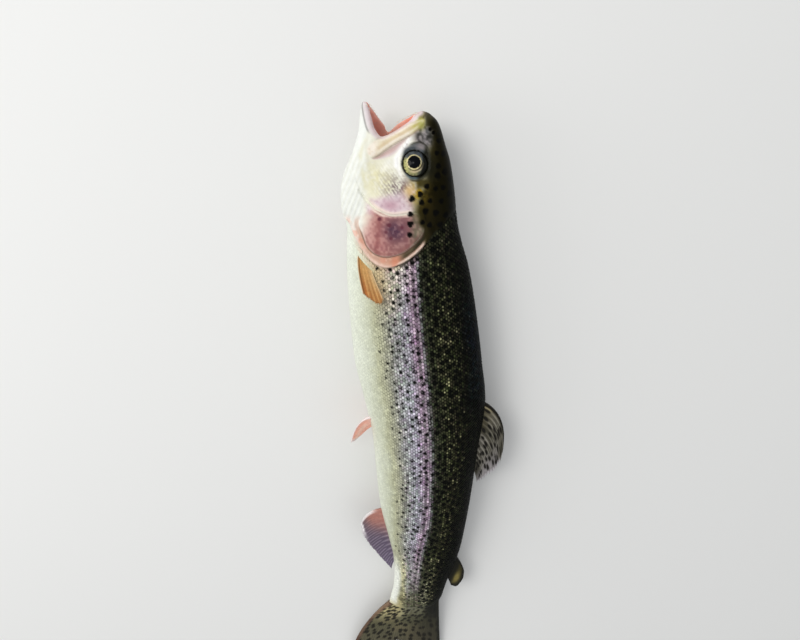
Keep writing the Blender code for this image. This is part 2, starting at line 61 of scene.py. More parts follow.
EYE_TILT = 0.26
EYE_RADIUS, EYE_DEPTH = 5.6, 3.6
SCALE_PITCH = 1.56       # spacing of the scales along a row
ROW_PITCH = 1.10         # spacing of the rows


# ------------------------------------------------------------------ functions
def profile(*knots):
    """Smooth curve through (station, value) knots that never overshoots them."""
    xs = np.array([float(k[0]) for k in knots])
    ys = np.array([float(k[1]) for k in knots])
    h = np.diff(xs)
    d = np.diff(ys) / h
    m = np.zeros(len(xs))
    m[0], m[-1] = d[0], d[-1]
    for i in range(1, len(d)):
        if d[i - 1] * d[i] > 0.0:
            p = 2.0 * h[i] + h[i - 1]
            q = h[i] + 2.0 * h[i - 1]
            m[i] = (p + q) / (p / d[i - 1] + q / d[i])

    def value(x):
        x = np.clip(np.asarray(x, dtype=float), xs[0], xs[-1])
        i = np.clip(np.searchsorted(xs, x, side="right") - 1, 0, len(h) - 1)
        t = (x - xs[i]) / h[i]
        t2, t3 = t * t, t * t * t
        return (ys[i] * (2 * t3 - 3 * t2 + 1) + m[i] * h[i] * (t3 - 2 * t2 + t)
                + ys[i + 1] * (3 * t2 - 2 * t3) + m[i + 1] * h[i] * (t3 - t2))

    return value


def step(a, b, x):
    """0 below a, 1 above b, smooth between."""
    t = np.clip((np.asarray(x, dtype=float) - a) / (b - a), 0.0, 1.0)
    return t * t * (3.0 - 2.0 * t)


def bump(d, width):
    return np.exp(-(d / width) ** 2)


def srgb(r, g, b):
    """Linear colour of an sRGB one given in 0..255."""
    c = np.array([r, g, b]) / 255.0
    return np.where(c <= 0.04045, c / 12.92, ((c + 0.055) / 1.055) ** 2.4)


back = profile((1.0, 8.7), (1.8, 11.4), (3.0, 13.1), (4.6, 14.8), (6.4, 15.9), (9.0, 16.9), (14.3, 18.6), (20, 20.5),
               (30, 22.4), (46, 24.5), (55.5, 27.0), (63, 29.4), (80, 33.0), (109, 37.5),
               (129, 39.9), (156, 37.3), (184, 35.0), (202, 33.1), (211, 32.0), (220, 30.4),
               (226, 28.8), (233, 26.8), (240, 25.0), (246, 23.7), (252, 22.3), (256, 20.3), (259.5, 15.6), (261.8, 9.0))
belly = profile((1.0, 8.3), (2.7, 3.0), (5.4, -1.5), (8, -5.0), (11.5, -10.5), (16, -12.8),
                (22, -15.5), (30, -18.6), (38, -20.9), (46, -22.5), (66, -23.3), (94, -22.1),
                (109, -20.8), (124, -17.6), (134, -15.6), (145, -13.5), (167, -11.8),
                (184, -10.5), (208, -6.1), (221, -3.8), (233, -3.3), (243, -3.9), (251, -5.4),
                (255.5, -6.1), (258.5, -3.4), (261.8, 6.5))
half = profile((1.0, 0.5), (1.5, 2.6), (2.5, 3.9), (4.6, 5.4), (8, 7.2), (12, 8.8), (20, 11.4),
               (30, 13.6), (40, 15.2), (50, 16.2), (60, 16.8), (80, 17.2), (100, 17.5),
               (125, 17.0), (150, 15.5), (184, 12.5), (208, 9.8), (233, 7.4), (245, 5.9),
               (254, 3.4), (260, 1.5), (261.8, 0.7))
widest = profile((1.0, 8.5), (5, 7.0), (12, 4.0), (20, 1.0), (30, -1.0), (50, 0.5), (80, 4.0),
                 (109, 7.5), (129, 10.5), (156, 12.0), (208, 12.8), (233, 11.0), (246, 8.5),
                 (261.8, 7.8))
top_form = profile((1.0, 2.3), (30, 2.3), (60, 2.0), (262, 2.0))
low_form = profile((1.0, 3.2), (11.5, 3.0), (20, 2.3), (60, 2.1), (262, 2.1))
jaw_top = profile((-2.5, -12.4), (0.8, -9.9), (3.8, -7.8), (7.7, -5.1), (11.9, -4.0), (16.2, -3.6),
                  (26, -4.0), (38, -5.0), (46, -9.0), (50, -15.0))
jaw_low = profile((-2.5, -15.0), (0.8, -15.9), (3.8, -16.3), (8, -16.7), (12, -17.8), (16.2, -19.2),
                  (19.4, -20.6), (26.6, -23.6), (32.3, -24.7), (38.5, -24.8), (43, -23.6),
                  (46.5, -22.4), (50, -20.0))
jaw_half = profile((-2.5, 1.2), (-1.6, 2.6), (0.8, 4.4), (3.8, 5.9), (7.7, 7.4), (11.9, 8.6), (16.2, 9.4),
                   (26.6, 10.6), (32.3, 10.9), (38.5, 10.6), (44, 9.2), (50, 5.5))
mouth_top = profile((-5, 4.0), (1.5, 6.0), (4, 6.6), (8, 5.0), (12, 3.5), (16, 2.0), (24, -1.0),
                    (32, -5.0), (36.5, -7.6))
mouth_low = profile((-5, -13.4), (1.5, -14.3), (4, -14.8), (8, -15.0), (12, -14.9), (16, -14.5),
                    (24, -13.2), (32, -12.0), (36.5, -9.4))
mouth_half = profile((-5, 2.2), (-1, 2.6), (1.5, 2.9), (4, 3.5), (8, 5.0), (12, 6.4), (16, 7.0),
                     (24, 6.5), (32, 4.5), (36.5, 1.0))
mid_height = profile((-6, 16.7), (150, 16.7), (184, 15.3), (208, 13.3), (233, 10.7), (250, 9.0),
                     (262, 7.6), (280, 4.8), (300, 2.1))
lateral = profile((-6, 4.0), (45, 4.5), (67, 5.3), (88.8, 7.2), (102.6, 8.6), (121.6, 10.1), (146.7, 11.8),
                  (173.4, 12.2), (196, 11.5), (213.6, 9.3), (225.8, 8.4), (238.3, 7.4), (262, 7.6))

# lines on the side of the head, as (s, x) points
GAPE = [(-12, 8.9), (1.0, 8.7), (2.7, 6.0), (5.4, 4.4), (8.0, 0.0), (10.0, -4.0), (11.5, -7.7),
        (9.8, -9.6), (7.5, -11.4), (3.7, -12.5), (-1.8, -13.5), (-12, -14.0)]
FAR_GAPE = [(-12, 8.9), (1.0, 8.5), (1.6, 6.4), (3.1, 3.6), (4.2, 0.8), (5.3, -1.4), (6.3, -3.4),
            (5.4, -5.2), (3.6, -7.3), (0.6, -9.7), (-1.8, -12.4), (-12, -13.4)]
GILL_OPENING = [(43.2, -22.4), (45.0, -20.8), (47.6, -19.9), (52.8, -17.0), (58.3, -13.0), (61.0, -9.2), (61.8, -5.0), (60.2, 0.0),
                (56.8, 5.4), (52.4, 10.0), (48.5, 12.6), (46.2, 15.0)]
MAXILLA = [(3.4, 9.6), (5.2, 4.0), (7.8, -0.4), (9.7, -4.4), (11.2, -8.0), (12.7, -11.0),
           (14.4, -12.9), (16.6, -13.2), (18.4, -11.8), (18.3, -9.6), (15.7, -5.9), (13.0, -2.0),
           (11.1, 2.0), (8.9, 6.0), (5.6, 10.0)]
FOLD = [(9.6, 5.4), (11.3, 3.0), (14.4, 0.6), (17.6, -2.2), (19.0, -6.2), (19.6, -10.6), (18.6, -11.6),
        (18.0, -8.8), (15.7, -5.4), (13.4, -1.8), (11.4, 2.0)]
ORBIT = [(15.5, 1.0), (21.2, 0.4), (25.5, 2.0), (27.4, 4.8), (27.0, 8.7), (23.9, 11.8), (19.3, 12.2),
         (14.8, 11.3), (12.5, 8.6), (12.9, 5.4), (14.0, 3.1)]
PREOPERCLE_FRONT = [(23.8, -11.8), (27.7, -9.5), (31.6, -6.0), (34.8, -3.6), (35.9, -1.2)]
PREOPERCLE_REAR = [(31.0, -16.4), (34.5, -13.8), (37.0, -11.2), (39.0, -8.0), (40.6, -4.0), (40.4, 0.0), (39.8, 4.0), (39.4, 6.4)]
OPERCLE = [(37.6, -11.4), (39.2, -8.0), (40.8, -4.0), (40.6, 0.0), (40.0, 4.0), (39.5, 6.4),
           (41.2, 8.4), (44.0, 9.6), (47.2, 9.7), (50.5, 7.3), (53.0, 4.5), (55.0, 1.6), (56.5, -2.0),
           (57.1, -6.1), (56.3, -9.8), (54.6, -12.2), (52.6, -13.8), (51.3, -14.2), (47.2, -15.7), (43.9, -17.2), (40.5, -15.0)]
BRANCHIOSTEGAL = [(18.7, -19.8), (27.2, -17.2), (35.2, -13.7), (40.0, -12.2)]
SUBORBITAL = [(10.0, 5.4), (11.4, 3.8), (14.6, 1.6), (18.6, -1.6), (21.6, -1.4)]
NOSTRILS = [(8.0, 11.9), (9.3, 13.2)]
TOP_EDGE = profile((-1, 8.8), (3, 9.6), (8, 9.4), (12, 11.2), (17, 11.8), (24, 11.2), (29, 9.9), (34, 7.6),
                   (40, 6.8), (46, 9.0), (52, 10.2), (60, 11.0), (68, 11.8))
HEAD_SPOTS = [(29.4, 10.6), (30.4, 14.2), (30.1, 17.3), (32.3, 8.0), (34.0, 4.8), (35.5, 8.6), (35.0, 12.0),
              (35.4, 16.6), (38.9, 10.1), (39.8, 14.4), (39.9, 4.1), (43.1, 9.0), (44.4, 11.9), (44.6, 16.3),
              (43.7, 4.1), (47.9, 3.9), (50.2, 15.1), (21.8, 15.3), (25.4, 15.0), (24.2, 17.9),
              (12.3, 15.4), (16.9, 14.6), (17.2, 17.4), (32.7, 20.2), (41.0, 18.6), (38.0, 21.0), (27.4, 20.3)]


def world(s, x, w):
    """Design millimetres to metres in the row frame."""
    s, x, w = np.broadcast_arrays(s, x, w)
    return np.stack([(x - CENTRE_X) * MM, (CENTRE_S - s) * MM, (mid_height(s) + w) * MM], axis=-1)


def line_distance(line, s, x, closed=False):
    """Distance of points (s, x) to a polyline."""
    pts = list(line) + ([line[0]] if closed else [])
    best = np.full(np.broadcast(s, x).shape, 1e9)
    for (a, b), (c, d) in zip(pts[:-1], pts[1:]):
        u, v = c - a, d - b
        t = np.clip(((s - a) * u + (x - b) * v) / (u * u + v * v), 0.0, 1.0)
        best = np.minimum(best, (s - a - t * u) ** 2 + (x - b - t * v) ** 2)
    return np.sqrt(best)


def inside(outline, s, x):
    """Distance into a closed outline, negative outside."""
    d = line_distance(outline, s, x, closed=True)
    odd = np.zeros(d.shape, dtype=bool)
    pts = list(outline) + [outline[0]]
    for (a, b), (c, e) in zip(pts[:-1], pts[1:]):
        if b == e:
            continue
        cross = (b > x) != (e > x)
        odd ^= cross & (s < (c - a) * (x - b) / (e - b) + a)
    return np.where(odd, d, -d)


def rounded(line, times=2, closed=True):
    """Corner cutting: a smoother outline through the same shape."""
    for _ in range(times):
        n = len(line)
        out = [] if closed else [line[0]]
        for i in range(n if closed else n - 1):
            p, q = line[i], line[(i + 1) % n]
            out.append((0.75 * p[0] + 0.25 * q[0], 0.75 * p[1] + 0.25 * q[1]))
            out.append((0.25 * p[0] + 0.75 * q[0], 0.25 * p[1] + 0.75 * q[1]))
        if not closed:
            out.append(line[-1])
        line = out
    return line


def oval(x, aw, top, low, level, width, form_up, form_down):
    """About the distance outside an oval section, negative inside."""
    level = np.minimum(np.maximum(level, low + 0.1), top - 0.1)
    d = x - level
    up = d >= 0.0
    reach = np.where(up, top - level, level - low)
    p = np.where(up, form_up, form_down)
    a = np.abs(d) / reach + 1e-6
    b = aw / width + 1e-6
    g = (a ** p + b ** p) ** (1.0 / p)
    slope = np.sqrt(((a / g) ** (p - 1.0) / reach) ** 2 + ((b / g) ** (p - 1.0) / width) ** 2)
    return (g - 1.0) / slope


def soft_min(a, b, k):
    h = np.maximum(k - np.abs(a - b), 0.0) / k
    return np.minimum(a, b) - h * h * k * 0.25


def soft_max(a, b, k):
    return -soft_min(-a, -b, k)


# ------------------------------------------------------ relief on the head's side
class Chart:
    """A function of (s, x), worked out once on a fine lattice and read between its points."""
    S0, S1, X0, X1, H = -6.0, 76.0, -30.0, 34.0, 0.2

    def __init__(self, value):
        self.v = value

    @classmethod
    def lattice(cls):
        s = np.arange(cls.S0, cls.S1 + 1e-6, cls.H)[:, None]
        x = np.arange(cls.X0, cls.X1 + 1e-6, cls.H)[None, :]
        return s, x

    def __call__(self, s, x):
        s, x = np.broadcast_arrays(np.asarray(s, dtype=float), np.asarray(x, dtype=float))
        n, m = self.v.shape
        a = np.clip((s - self.S0) / self.H, 0, n - 1.001)
        b = np.clip((x - self.X0) / self.H, 0, m - 1.001)
        i, j = a.astype(int), b.astype(int)
        p, q = a - i, b - j
        v = self.v
        return ((v[i, j] * (1 - p) + v[i + 1, j] * p) * (1 - q)
                + (v[i, j + 1] * (1 - p) + v[i + 1, j + 1] * p) * q)


LS, LX = Chart.lattice()
gill_line = rounded(GILL_OPENING, closed=False)
ahead = inside(rounded([(-20, -40)] + [(43.0, -40)] + GILL_OPENING + [(45.6, 20), (45.6, 50), (-20, 50)], 1), LS, LX)
in_maxilla = inside(rounded(MAXILLA), LS, LX)
in_fold = inside(rounded(FOLD), LS, LX)
in_orbit = inside(rounded(ORBIT), LS, LX)
in_opercle = inside(rounded(OPERCLE), LS, LX)
gape = inside(rounded(GAPE, 1), LS, LX)
far_gape = inside(rounded(FAR_GAPE, 1), LS, LX)
d_pre_front = line_distance(rounded(PREOPERCLE_FRONT, closed=False), LS, LX)
d_pre_rear = line_distance(rounded(PREOPERCLE_REAR, closed=False), LS, LX)
d_branch = line_distance(BRANCHIOSTEGAL, LS, LX)
d_suborb = line_distance(SUBORBITAL, LS, LX)
eye_r = np.hypot(LS - EYE_S + 0.9, LX - EYE_X)


def head_relief():
    s, x = LS + 0.0 * LX, LX + 0.0 * LS
    r = np.zeros(s.shape)
    # gill cover: a raised edge over the shoulder, a hollow behind it
    low_part = step(12.5, 9.0, x)
    r += low_part * (0.55 * step(-0.25, 0.35, ahead) * step(16.0, 5.0, ahead)
                     - 0.75 * np.exp(-np.maximum(-ahead, 0.0) / 1.6) * step(0.25, -0.25, ahead) * step(-20.0, -13.0, x))
    # the bony plate in it
    r += 0.30 * step(-0.25, 0.55, in_opercle) * step(-17.5, -11.0, x + 0.45 * (s - 44.0))
    r -= 0.22 * bump(in_opercle + 0.35, 0.35) * step(45.0, 49.0, s)
    r += 0.22 * bump(ahead - 0.5, 0.5) * low_part
    # wrinkles of the gill membrane, along its rear edge
    r += 0.07 * np.sin(ahead * 5.2 + 0.5 * np.sin(x * 0.7)) * step(0.0, -0.6, in_opercle) * step(0.4, 0.9, ahead) \
        * step(44.0, 50.0, s) * low_part
    # cheek bones
    r += 0.32 * bump(d_pre_rear - 0.9, 0.8) * step(41.2, 39.6, s)
    r -= 0.55 * bump(d_pre_rear, 0.38)
    r -= 0.28 * bump(d_pre_front, 0.5)
    r -= 0.22 * bump(line_distance([(27, -3.2), (30.5, -1.0), (33.6, 3.0), (35.0, 6.6)], s, x), 0.55)
    r += 0.10 * bump(line_distance([(22.0, -13.2), (29, -12.6), (34.6, -9.0), (37.6, -3.6)], s, x), 1.0)
    # maxilla: a smooth blade over the corner of the mouth
    r += 0.30 * step(-0.3, 1.4, in_maxilla) * step(-12.5, -8.5, x)
    r -= 0.28 * bump(in_maxilla + 0.25, 0.34) * step(3.0, 6.0, s) * step(-13.0, -9.0, x + 0.25 * (s - 12))
    r += 0.12 * bump(line_distance([(6.5, 5.6), (10.2, -1.2), (14.2, -8.4), (16.6, -11.2)], s, x), 0.6)
    # soft wedge behind it
    r -= 0.60 * step(-0.1, 1.0, in_fold)
    r += 0.30 * bump(d_suborb, 0.55)
    # socket rim and lid
    r -= 0.85 * step(-0.3, 2.4, in_orbit)
    r += 0.34 * bump(in_orbit + 0.55, 0.6)
    r += 0.12 * np.sin(eye_r * 4.2) * step(5.2, 5.9, eye_r) * step(0.2, 0.8, in_orbit)
    # nostrils
    for n, (a, b) in enumerate(NOSTRILS):
        d = np.hypot(s - a, x - b)
        r += 0.30 * bump(d - 0.95, 0.35) - 1.1 * bump(d, 0.52)
    # throat rays and the fold over them
    r -= 0.35 * bump(d_branch, 0.4)
    fan = step(0.3, 1.5, (-13.2 - 0.28 * (40 - s)) * -1 - x * -1 - 0.0 + 0.0 * s)
    ray = np.sin((x + 0.42 * s) * 3.1 + 0.6 * np.sin(s * 0.21))
    below = step(-0.6, -1.8, x - np.interp(s, [-4, 4, 12, 18.7, 27.2, 35.2, 40.0, 46, 52], [-14.4, -14.2, -15.6, -18.4, -17.2, -13.9, -12.6, -14.8, -16.4]))
    r += 0.13 * ray * below * step(14.0, 20.0, s) * step(50.0, 44.0, s)
    # jaw: a rounded lip, and a groove under it
    jaw_line = line_distance([(-1.0, -14.9), (4.0, -14.3), (8.5, -13.6), (12.2, -12.6), (15.5, -14.6), (19.5, -16.0)], s, x)
    r -= 0.18 * bump(jaw_line, 0.45)
    # pores along the jaw
    for k in range(6):
        r -= 0.4 * bump(np.hypot(s - (0.5 + 3.0 * k), x - (-15.2 - 0.12 * k)), 0.28)
    return r


relief = Chart(head_relief())
c_ahead, c_maxilla, c_fold, c_orbit, c_opercle = map(Chart, (ahead, in_maxilla, in_fold, in_orbit, in_opercle))
c_gape, c_far_gape, c_pre_front, c_pre_rear, c_branch, c_suborb = map(
    Chart, (gape, far_gape, d_pre_front, d_pre_rear, d_branch, d_suborb))


def nape_gap(s, x):
    """How far a place lies behind the forward edge of the scales on the nape, in millimetres."""
    return s - np.interp(x, [11.6, 15.0, 17.9, 20.6, 22.6, 40.0], [50.2, 46.8, 44.1, 41.0, 40.2, 39.4]) - 12.0 * step(15.5, 13.5, x)


def coat_depth(s, x):
    """How far the skin lies inside the outline: little on the head, a scale's depth behind it."""
    return 0.10 + 0.25 * np.maximum(step(0.5, -2.0, c_ahead(s, x)), step(-1.2, 1.0, nape_gap(s, x)))


def mouth_field(s, x, aw):
    m = oval(x, aw, mouth_top(s), mouth_low(s), 0.5 * (mouth_top(s) + mouth_low(s)), mouth_half(s), 2.5, 2.5)
    return np.maximum(m, s - 36.4)


def skin_field(s, x, w):
    """About the distance outside the skin, in millimetres, negative inside."""
    aw = np.abs(w)
    wide = half(s)
    body = oval(x, aw, back(s), belly(s), widest(s), wide, top_form(s), low_form(s))
    body = np.maximum(body, np.maximum(1.0 - s, s - 261.8))
    jt, jl = jaw_top(s), jaw_low(s)
    jaw = oval(x, aw, jt, jl, 0.55 * jt + 0.45 * jl, jaw_half(s), 3.0, 2.3)
    jaw = np.maximum(jaw, np.maximum(-2.5 - s, s - 50.0))
    f = soft_min(body, jaw, 2.0) + coat_depth(s, x)
    side = step(0.30, 0.62, aw / np.maximum(np.where(x < -13.0 - 0.0 * s, jaw_half(s), wide), 1.0))
    f = f - relief(s, x) * side * step(76.0, 70.0, s)
    mouth = mouth_field(s, x, aw)
    f = soft_max(f, -mouth, 0.9)
    near = np.clip((w + 8.0) / 16.0, 0.0, 1.0)
    f = soft_max(f, near * c_gape(s, x) + (1.0 - near) * c_far_gape(s, x), 0.9)
    # socket, just wider than the eyeball
    along, out = -(s - EYE_S), aw - EYE_W
    a = along * cos(EYE_TILT) - out * sin(EYE_TILT)
    b = out * cos(EYE_TILT) + along * sin(EYE_TILT)
    socket = np.sqrt((a ** 2 + (x - EYE_X) ** 2) / (EYE_RADIUS + 0.10) ** 2
                     + (b / (EYE_DEPTH + 0.10)) ** 2) - 1.0
    f = soft_max(f, -socket * 3.9, 0.25)
    # the flank flattens where it rests
    f = soft_max(f, FLOOR_CLEAR - (mid_height(s) + w), 0.5)
    return f


def surface_net(field, gs, gx, gw, passes=2):
    """Quads over the zero level of a field on a lattice of stations, heights and widths."""
    f = np.empty((len(gs), len(gx), len(gw)), dtype=np.float32)
    for i in range(0, len(gs), 24):
        f[i:i + 24] = field(gs[i:i + 24, None, None], gx[None, :, None], gw[None, None, :])
    neg = f < 0.0
    count = np.zeros(tuple(n - 1 for n in f.shape), dtype=np.int8)
    for a in (0, 1):
        for b in (0, 1):
            for c in (0, 1):
                count += neg[a:f.shape[0] - 1 + a, b:f.shape[1] - 1 + b, c:f.shape[2] - 1 + c]
    active = (count > 0) & (count < 8)
    ci, cj, ck = np.nonzero(active)
    index = np.full(active.shape, -1, dtype=np.int64)
    index[ci, cj, ck] = np.arange(len(ci))
    total = np.zeros((len(ci), 3))
    hits = np.zeros(len(ci))
    axes = (gs, gx, gw)
    corner = lambda a, b, c: f[ci + a, cj + b, ck + c]
    for axis in range(3):
        for p in (0, 1):
            for q in (0, 1):
                lo, hi = [0, 0, 0], [0, 0, 0]
                others = [k for k in range(3) if k != axis]
                lo[others[0]] = hi[others[0]] = p
                lo[others[1]] = hi[others[1]] = q
                hi[axis] = 1
                a, b = corner(*lo), corner(*hi)
                cut = (a < 0) != (b < 0)
                t = np.where(cut, a / np.where(cut, a - b, 1.0), 0.0)
                cell = (ci, cj, ck)
                pos = np.empty((len(ci), 3))
                for k in range(3):
                    base = axes[k][cell[k] + lo[k]]
                    pos[:, k] = base + (t * (axes[k][np.minimum(cell[k] + 1, len(axes[k]) - 1)] - base) if k == axis else 0.0)
                total += np.where(cut[:, None], pos, 0.0)
                hits += cut
    verts = total / hits[:, None]
    quads = []
    for axis in range(3):
        n = list(f.shape)
        a = [slice(None)] * 3
        b = [slice(None)] * 3
        a[axis], b[axis] = slice(0, n[axis] - 1), slice(1, n[axis])
        o1, o2 = [k for k in range(3) if k != axis]
        for k in (o1, o2):
            a[k] = b[k] = slice(1, n[k] - 1)
        na, nb = neg[tuple(a)], neg[tuple(b)]
        e = np.array(np.nonzero(na != nb))
        flip = nb[tuple(e)]
        e[o1] += 1
        e[o2] += 1

        def cell(d1, d2):
            c = [e[0].copy(), e[1].copy(), e[2].copy()]
            c[o1] -= d1
            c[o2] -= d2
            return index[c[0], c[1], c[2]]

        q = np.stack([cell(1, 1), cell(0, 1), cell(0, 0), cell(1, 0)], axis=1)
        if axis == 1:
            flip = ~flip
        q[flip] = q[flip][:, ::-1]
        quads.append(q)
    quads = np.concatenate(quads)
    near = np.concatenate([quads[:, [k, (k + 1) % 4]] for k in range(4)])
    degree = np.bincount(near[:, 0], minlength=len(verts)) + np.bincount(near[:, 1], minlength=len(verts))

    def push(v):
        h = 0.12
        f0 = field(v[:, 0], v[:, 1], v[:, 2])
        g = np.stack([(field(v[:, 0] + h, v[:, 1], v[:, 2]) - field(v[:, 0] - h, v[:, 1], v[:, 2])),
                      (field(v[:, 0], v[:, 1] + h, v[:, 2]) - field(v[:, 0], v[:, 1] - h, v[:, 2])),
                      (field(v[:, 0], v[:, 1], v[:, 2] + h) - field(v[:, 0], v[:, 1], v[:, 2] - h))], axis=1) / (2 * h)
        size = np.maximum((g * g).sum(axis=1), 0.15)
        move = -f0[:, None] * g / size[:, None]
        length = np.linalg.norm(move, axis=1)
        return v + move * np.minimum(1.0, 0.3 / np.maximum(length, 1e-9))[:, None]

    for _ in range(passes):
        verts = push(verts)
        mean = np.zeros_like(verts)
        for k in range(3):
            mean[:, k] = (np.bincount(near[:, 0], weights=verts[near[:, 1], k], minlength=len(verts))
                          + np.bincount(near[:, 1], weights=verts[near[:, 0], k], minlength=len(verts)))
        verts = 0.55 * verts + 0.45 * mean / degree[:, None]
    return push(push(verts)), quads


def stations():
    gs = [-3.8]
    while gs[-1] < 263.6:
        s = gs[-1]
        gs.append(s + HEAD_STEP + (TRUNK_STEP - HEAD_STEP) * float(step(63.0, 76.0, s)) * float(1.0 - 0.6 * step(240.0, 256.0, s)))
    return np.array(gs)


def add_mesh(name, verts, faces, smooth=True):
    """A mesh object from arrays of vertices in metres and of faces of equal size."""
    me = bpy.data.meshes.new(name)
    faces = np.asarray(faces, dtype=np.int32)
    n, k = faces.shape
    me.vertices.add(len(verts))
    me.vertices.foreach_set("co", np.asarray(verts, dtype=np.float32).ravel())
    me.loops.add(n * k)
    me.loops.foreach_set("vertex_index", faces.ravel())
    me.polygons.add(n)
    me.polygons.foreach_set("loop_start", np.arange(0, n * k, k, dtype=np.int32))
    me.update(calc_edges=True)
    if smooth:
        me.shade_smooth()
    ob = bpy.data.objects.new(name, me)
    bpy.context.scene.collection.objects.link(ob)
    return ob


def paint(ob, colour, **fields):
    """Stores a colour and other fields for each vertex."""
    me = ob.data
    a = me.attributes.new("Tint", 'FLOAT_COLOR', 'POINT')
    rgba = np.ones((len(me.vertices), 4), dtype=np.float32)
    rgba[:, :3] = np.clip(colour, 0.0, 1.0)
    a.data.foreach_set("color", rgba.ravel())
    for name, values in fields.items():
        a = me.attributes.new(name, 'FLOAT', 'POINT')
        a.data.foreach_set("value", np.asarray(values, dtype=np.float32))


gs = stations()
gx = np.arange(-26.0, 41.5, HEAD_STEP * 1.12)
gw = np.arange(-17.3, 18.6, HEAD_STEP * 1.12)
skin_v, skin_f = surface_net(skin_field, gs, gx, gw)
print("skin", len(skin_v), "vertices", 2 * len(skin_f), "triangles")
skin = add_mesh("skin", world(skin_v[:, 0], skin_v[:, 1], skin_v[:, 2]), skin_f)


# ------------------------------------------------------------ round the body: angle and arc
def angle_of(s, x, aw):
    """Angle round a section: 0 at the ridge of the back, pi at that of the belly."""
    level = widest(s)
    up = x >= level
    reach = np.maximum(np.where(up, back(s) - level, level - belly(s)), 0.1)
    p = np.where(up, top_form(s), low_form(s))
    a = np.arctan2((aw / half(s)) ** (0.5 * p), (np.abs(x - level) / reach) ** (0.5 * p))
    return np.where(up, a, pi - a)


def at_angle(s, angle, inset=0.0):
    """(x, |w|) of the outline at an angle, moved in by an inset."""
    level = widest(s)
    up = angle < 0.5 * pi
    reach = np.where(up, back(s) - level, level - belly(s)) - inset
    p = np.where(up, top_form(s), low_form(s))
    c, d = np.abs(np.cos(angle)), np.abs(np.sin(angle))
    return level + np.where(up, 1.0, -1.0) * c ** (2.0 / p) * reach, d ** (2.0 / p) * (half(s) - inset)


ARC_S = np.arange(30.0, 262.0, 1.0)
ARC_A = np.linspace(0.0, pi, 241)
_x, _w = at_angle(ARC_S[:, None], ARC_A[None, :])
_len = np.concatenate([np.zeros((len(ARC_S), 1)), np.cumsum(np.hypot(np.diff(_x, axis=1), np.diff(_w, axis=1)), axis=1)], axis=1)
_mid = np.array([np.interp(-lateral(s), -_x[k], _len[k]) for k, s in enumerate(ARC_S)])
ARC = _mid[:, None] - _len           # distance round the body from the lateral line, + to the back


def arc_of(s, angle):
    a = np.clip((s - ARC_S[0]), 0, len(ARC_S) - 1.001)
    b = np.clip(angle / pi * 240.0, 0, 239.999)
    i, j = a.astype(int), b.astype(int)
    p, q = a - i, b - j
    return ((ARC[i, j] * (1 - p) + ARC[i + 1, j] * p) * (1 - q)
            + (ARC[i, j + 1] * (1 - p) + ARC[i + 1, j + 1] * p) * q)


# ------------------------------------------------------------ markings
class Spots:
    """Distance to the nearest dark spot, over a flat map of one side (station, distance round)."""
    S0, A0, H, NS, NA = 40.0, -52.0, 0.2, 1130, 490

    def __init__(self, seed):
        rng = np.random.default_rng(seed)
        self.v = np.full((self.NS, self.NA), 9.0)
        step_s = 3.55
        row = 0
        for a in np.arange(-30.0, 46.0, 3.0):
            row += 1
            for s in np.arange(44.0, 262.0, step_s):
                ss = s + (row % 2) * 0.5 * step_s + rng.uniform(-0.8, 0.8)
                aa = a * float(np.interp(ss, [60, 150, 240], [1.0, 1.0, 0.82])) + rng.uniform(-0.75, 0.75)
                scale = float(np.interp(ss, [60, 110, 210, 262], [0.93, 1.0, 0.80, 0.66]))
                q = aa / scale
                chance = float(np.interp(q, [-19, -16.5, -13.5, -3, 2.5, 5, 30], [0.0, 0.16, 0.74, 0.80, 0.62, 0.95, 0.97]))
                chance *= float(np.interp(ss, [44, 60, 262], [0.9, 1.0, 1.0]))
                if ss > 205:
                    chance = max(chance, float(np.interp(q, [-18, -12, -6, 30], [0.0, 0.5, 0.85, 0.92])))
                if rng.random() > chance:
                    continue
                big = float(np.interp(q, [-14, -4, 4, 7, 30], [0.58, 0.82, 0.92, 1.16, 1.05])) * rng.uniform(0.82, 1.14)
                big *= float(np.interp(ss, [40, 200, 250], [1.0, 1.0, 0.86]))
                self.stamp(ss, aa, big, rng.uniform(-0.4, 0.4), rng.random() < (0.6 if q < 4 else 0.12), rng.uniform(-1.0, 1.0))

    def stamp(self, s, a, r, turn, crescent, lean):
        i0, i1 = int((s - 3 - self.S0) / self.H), int((s + 3 - self.S0) / self.H)
        j0, j1 = int((a - 3 - self.A0) / self.H), int((a + 3 - self.A0) / self.H)
        i0, j0 = max(i0, 0), max(j0, 0)
        i1, j1 = min(i1, self.NS), min(j1, self.NA)
        if i1 <= i0 or j1 <= j0:
            return
        u = self.S0 + np.arange(i0, i1)[:, None] * self.H - s
        v = self.A0 + np.arange(j0, j1)[None, :] * self.H - a
        wob = np.arctan2(v, u)
        d = np.hypot(u * (1.0 + 0.12 * turn), v) - r * (1.0 + 0.12 * np.sin(3 * wob + 7 * turn) + 0.06 * np.sin(5 * wob + 3 * lean))
        if crescent:
            d = np.maximum(d, 0.50 * r - np.hypot(u + 0.22 * r, v - 0.40 * r * lean))
        part = self.v[i0:i1, j0:j1]
        np.minimum(part, d, out=part)

    def __call__(self, s, arc):
        a = np.clip((s - self.S0) / self.H, 0, self.NS - 1.001)
        b = np.clip((arc - self.A0) / self.H, 0, self.NA - 1.001)
        i, j = a.astype(int), b.astype(int)
        p, q = a - i, b - j
        v = self.v
        d = ((v[i, j] * (1 - p) + v[i + 1, j] * p) * (1 - q)
             + (v[i, j + 1] * (1 - p) + v[i + 1, j + 1] * p) * q)
        return np.where(s < 44.0, 9.0, d)


spots = {1: Spots(7), -1: Spots(19)}

LATTICE = np.random.default_rng(5).random((64, 64, 64))


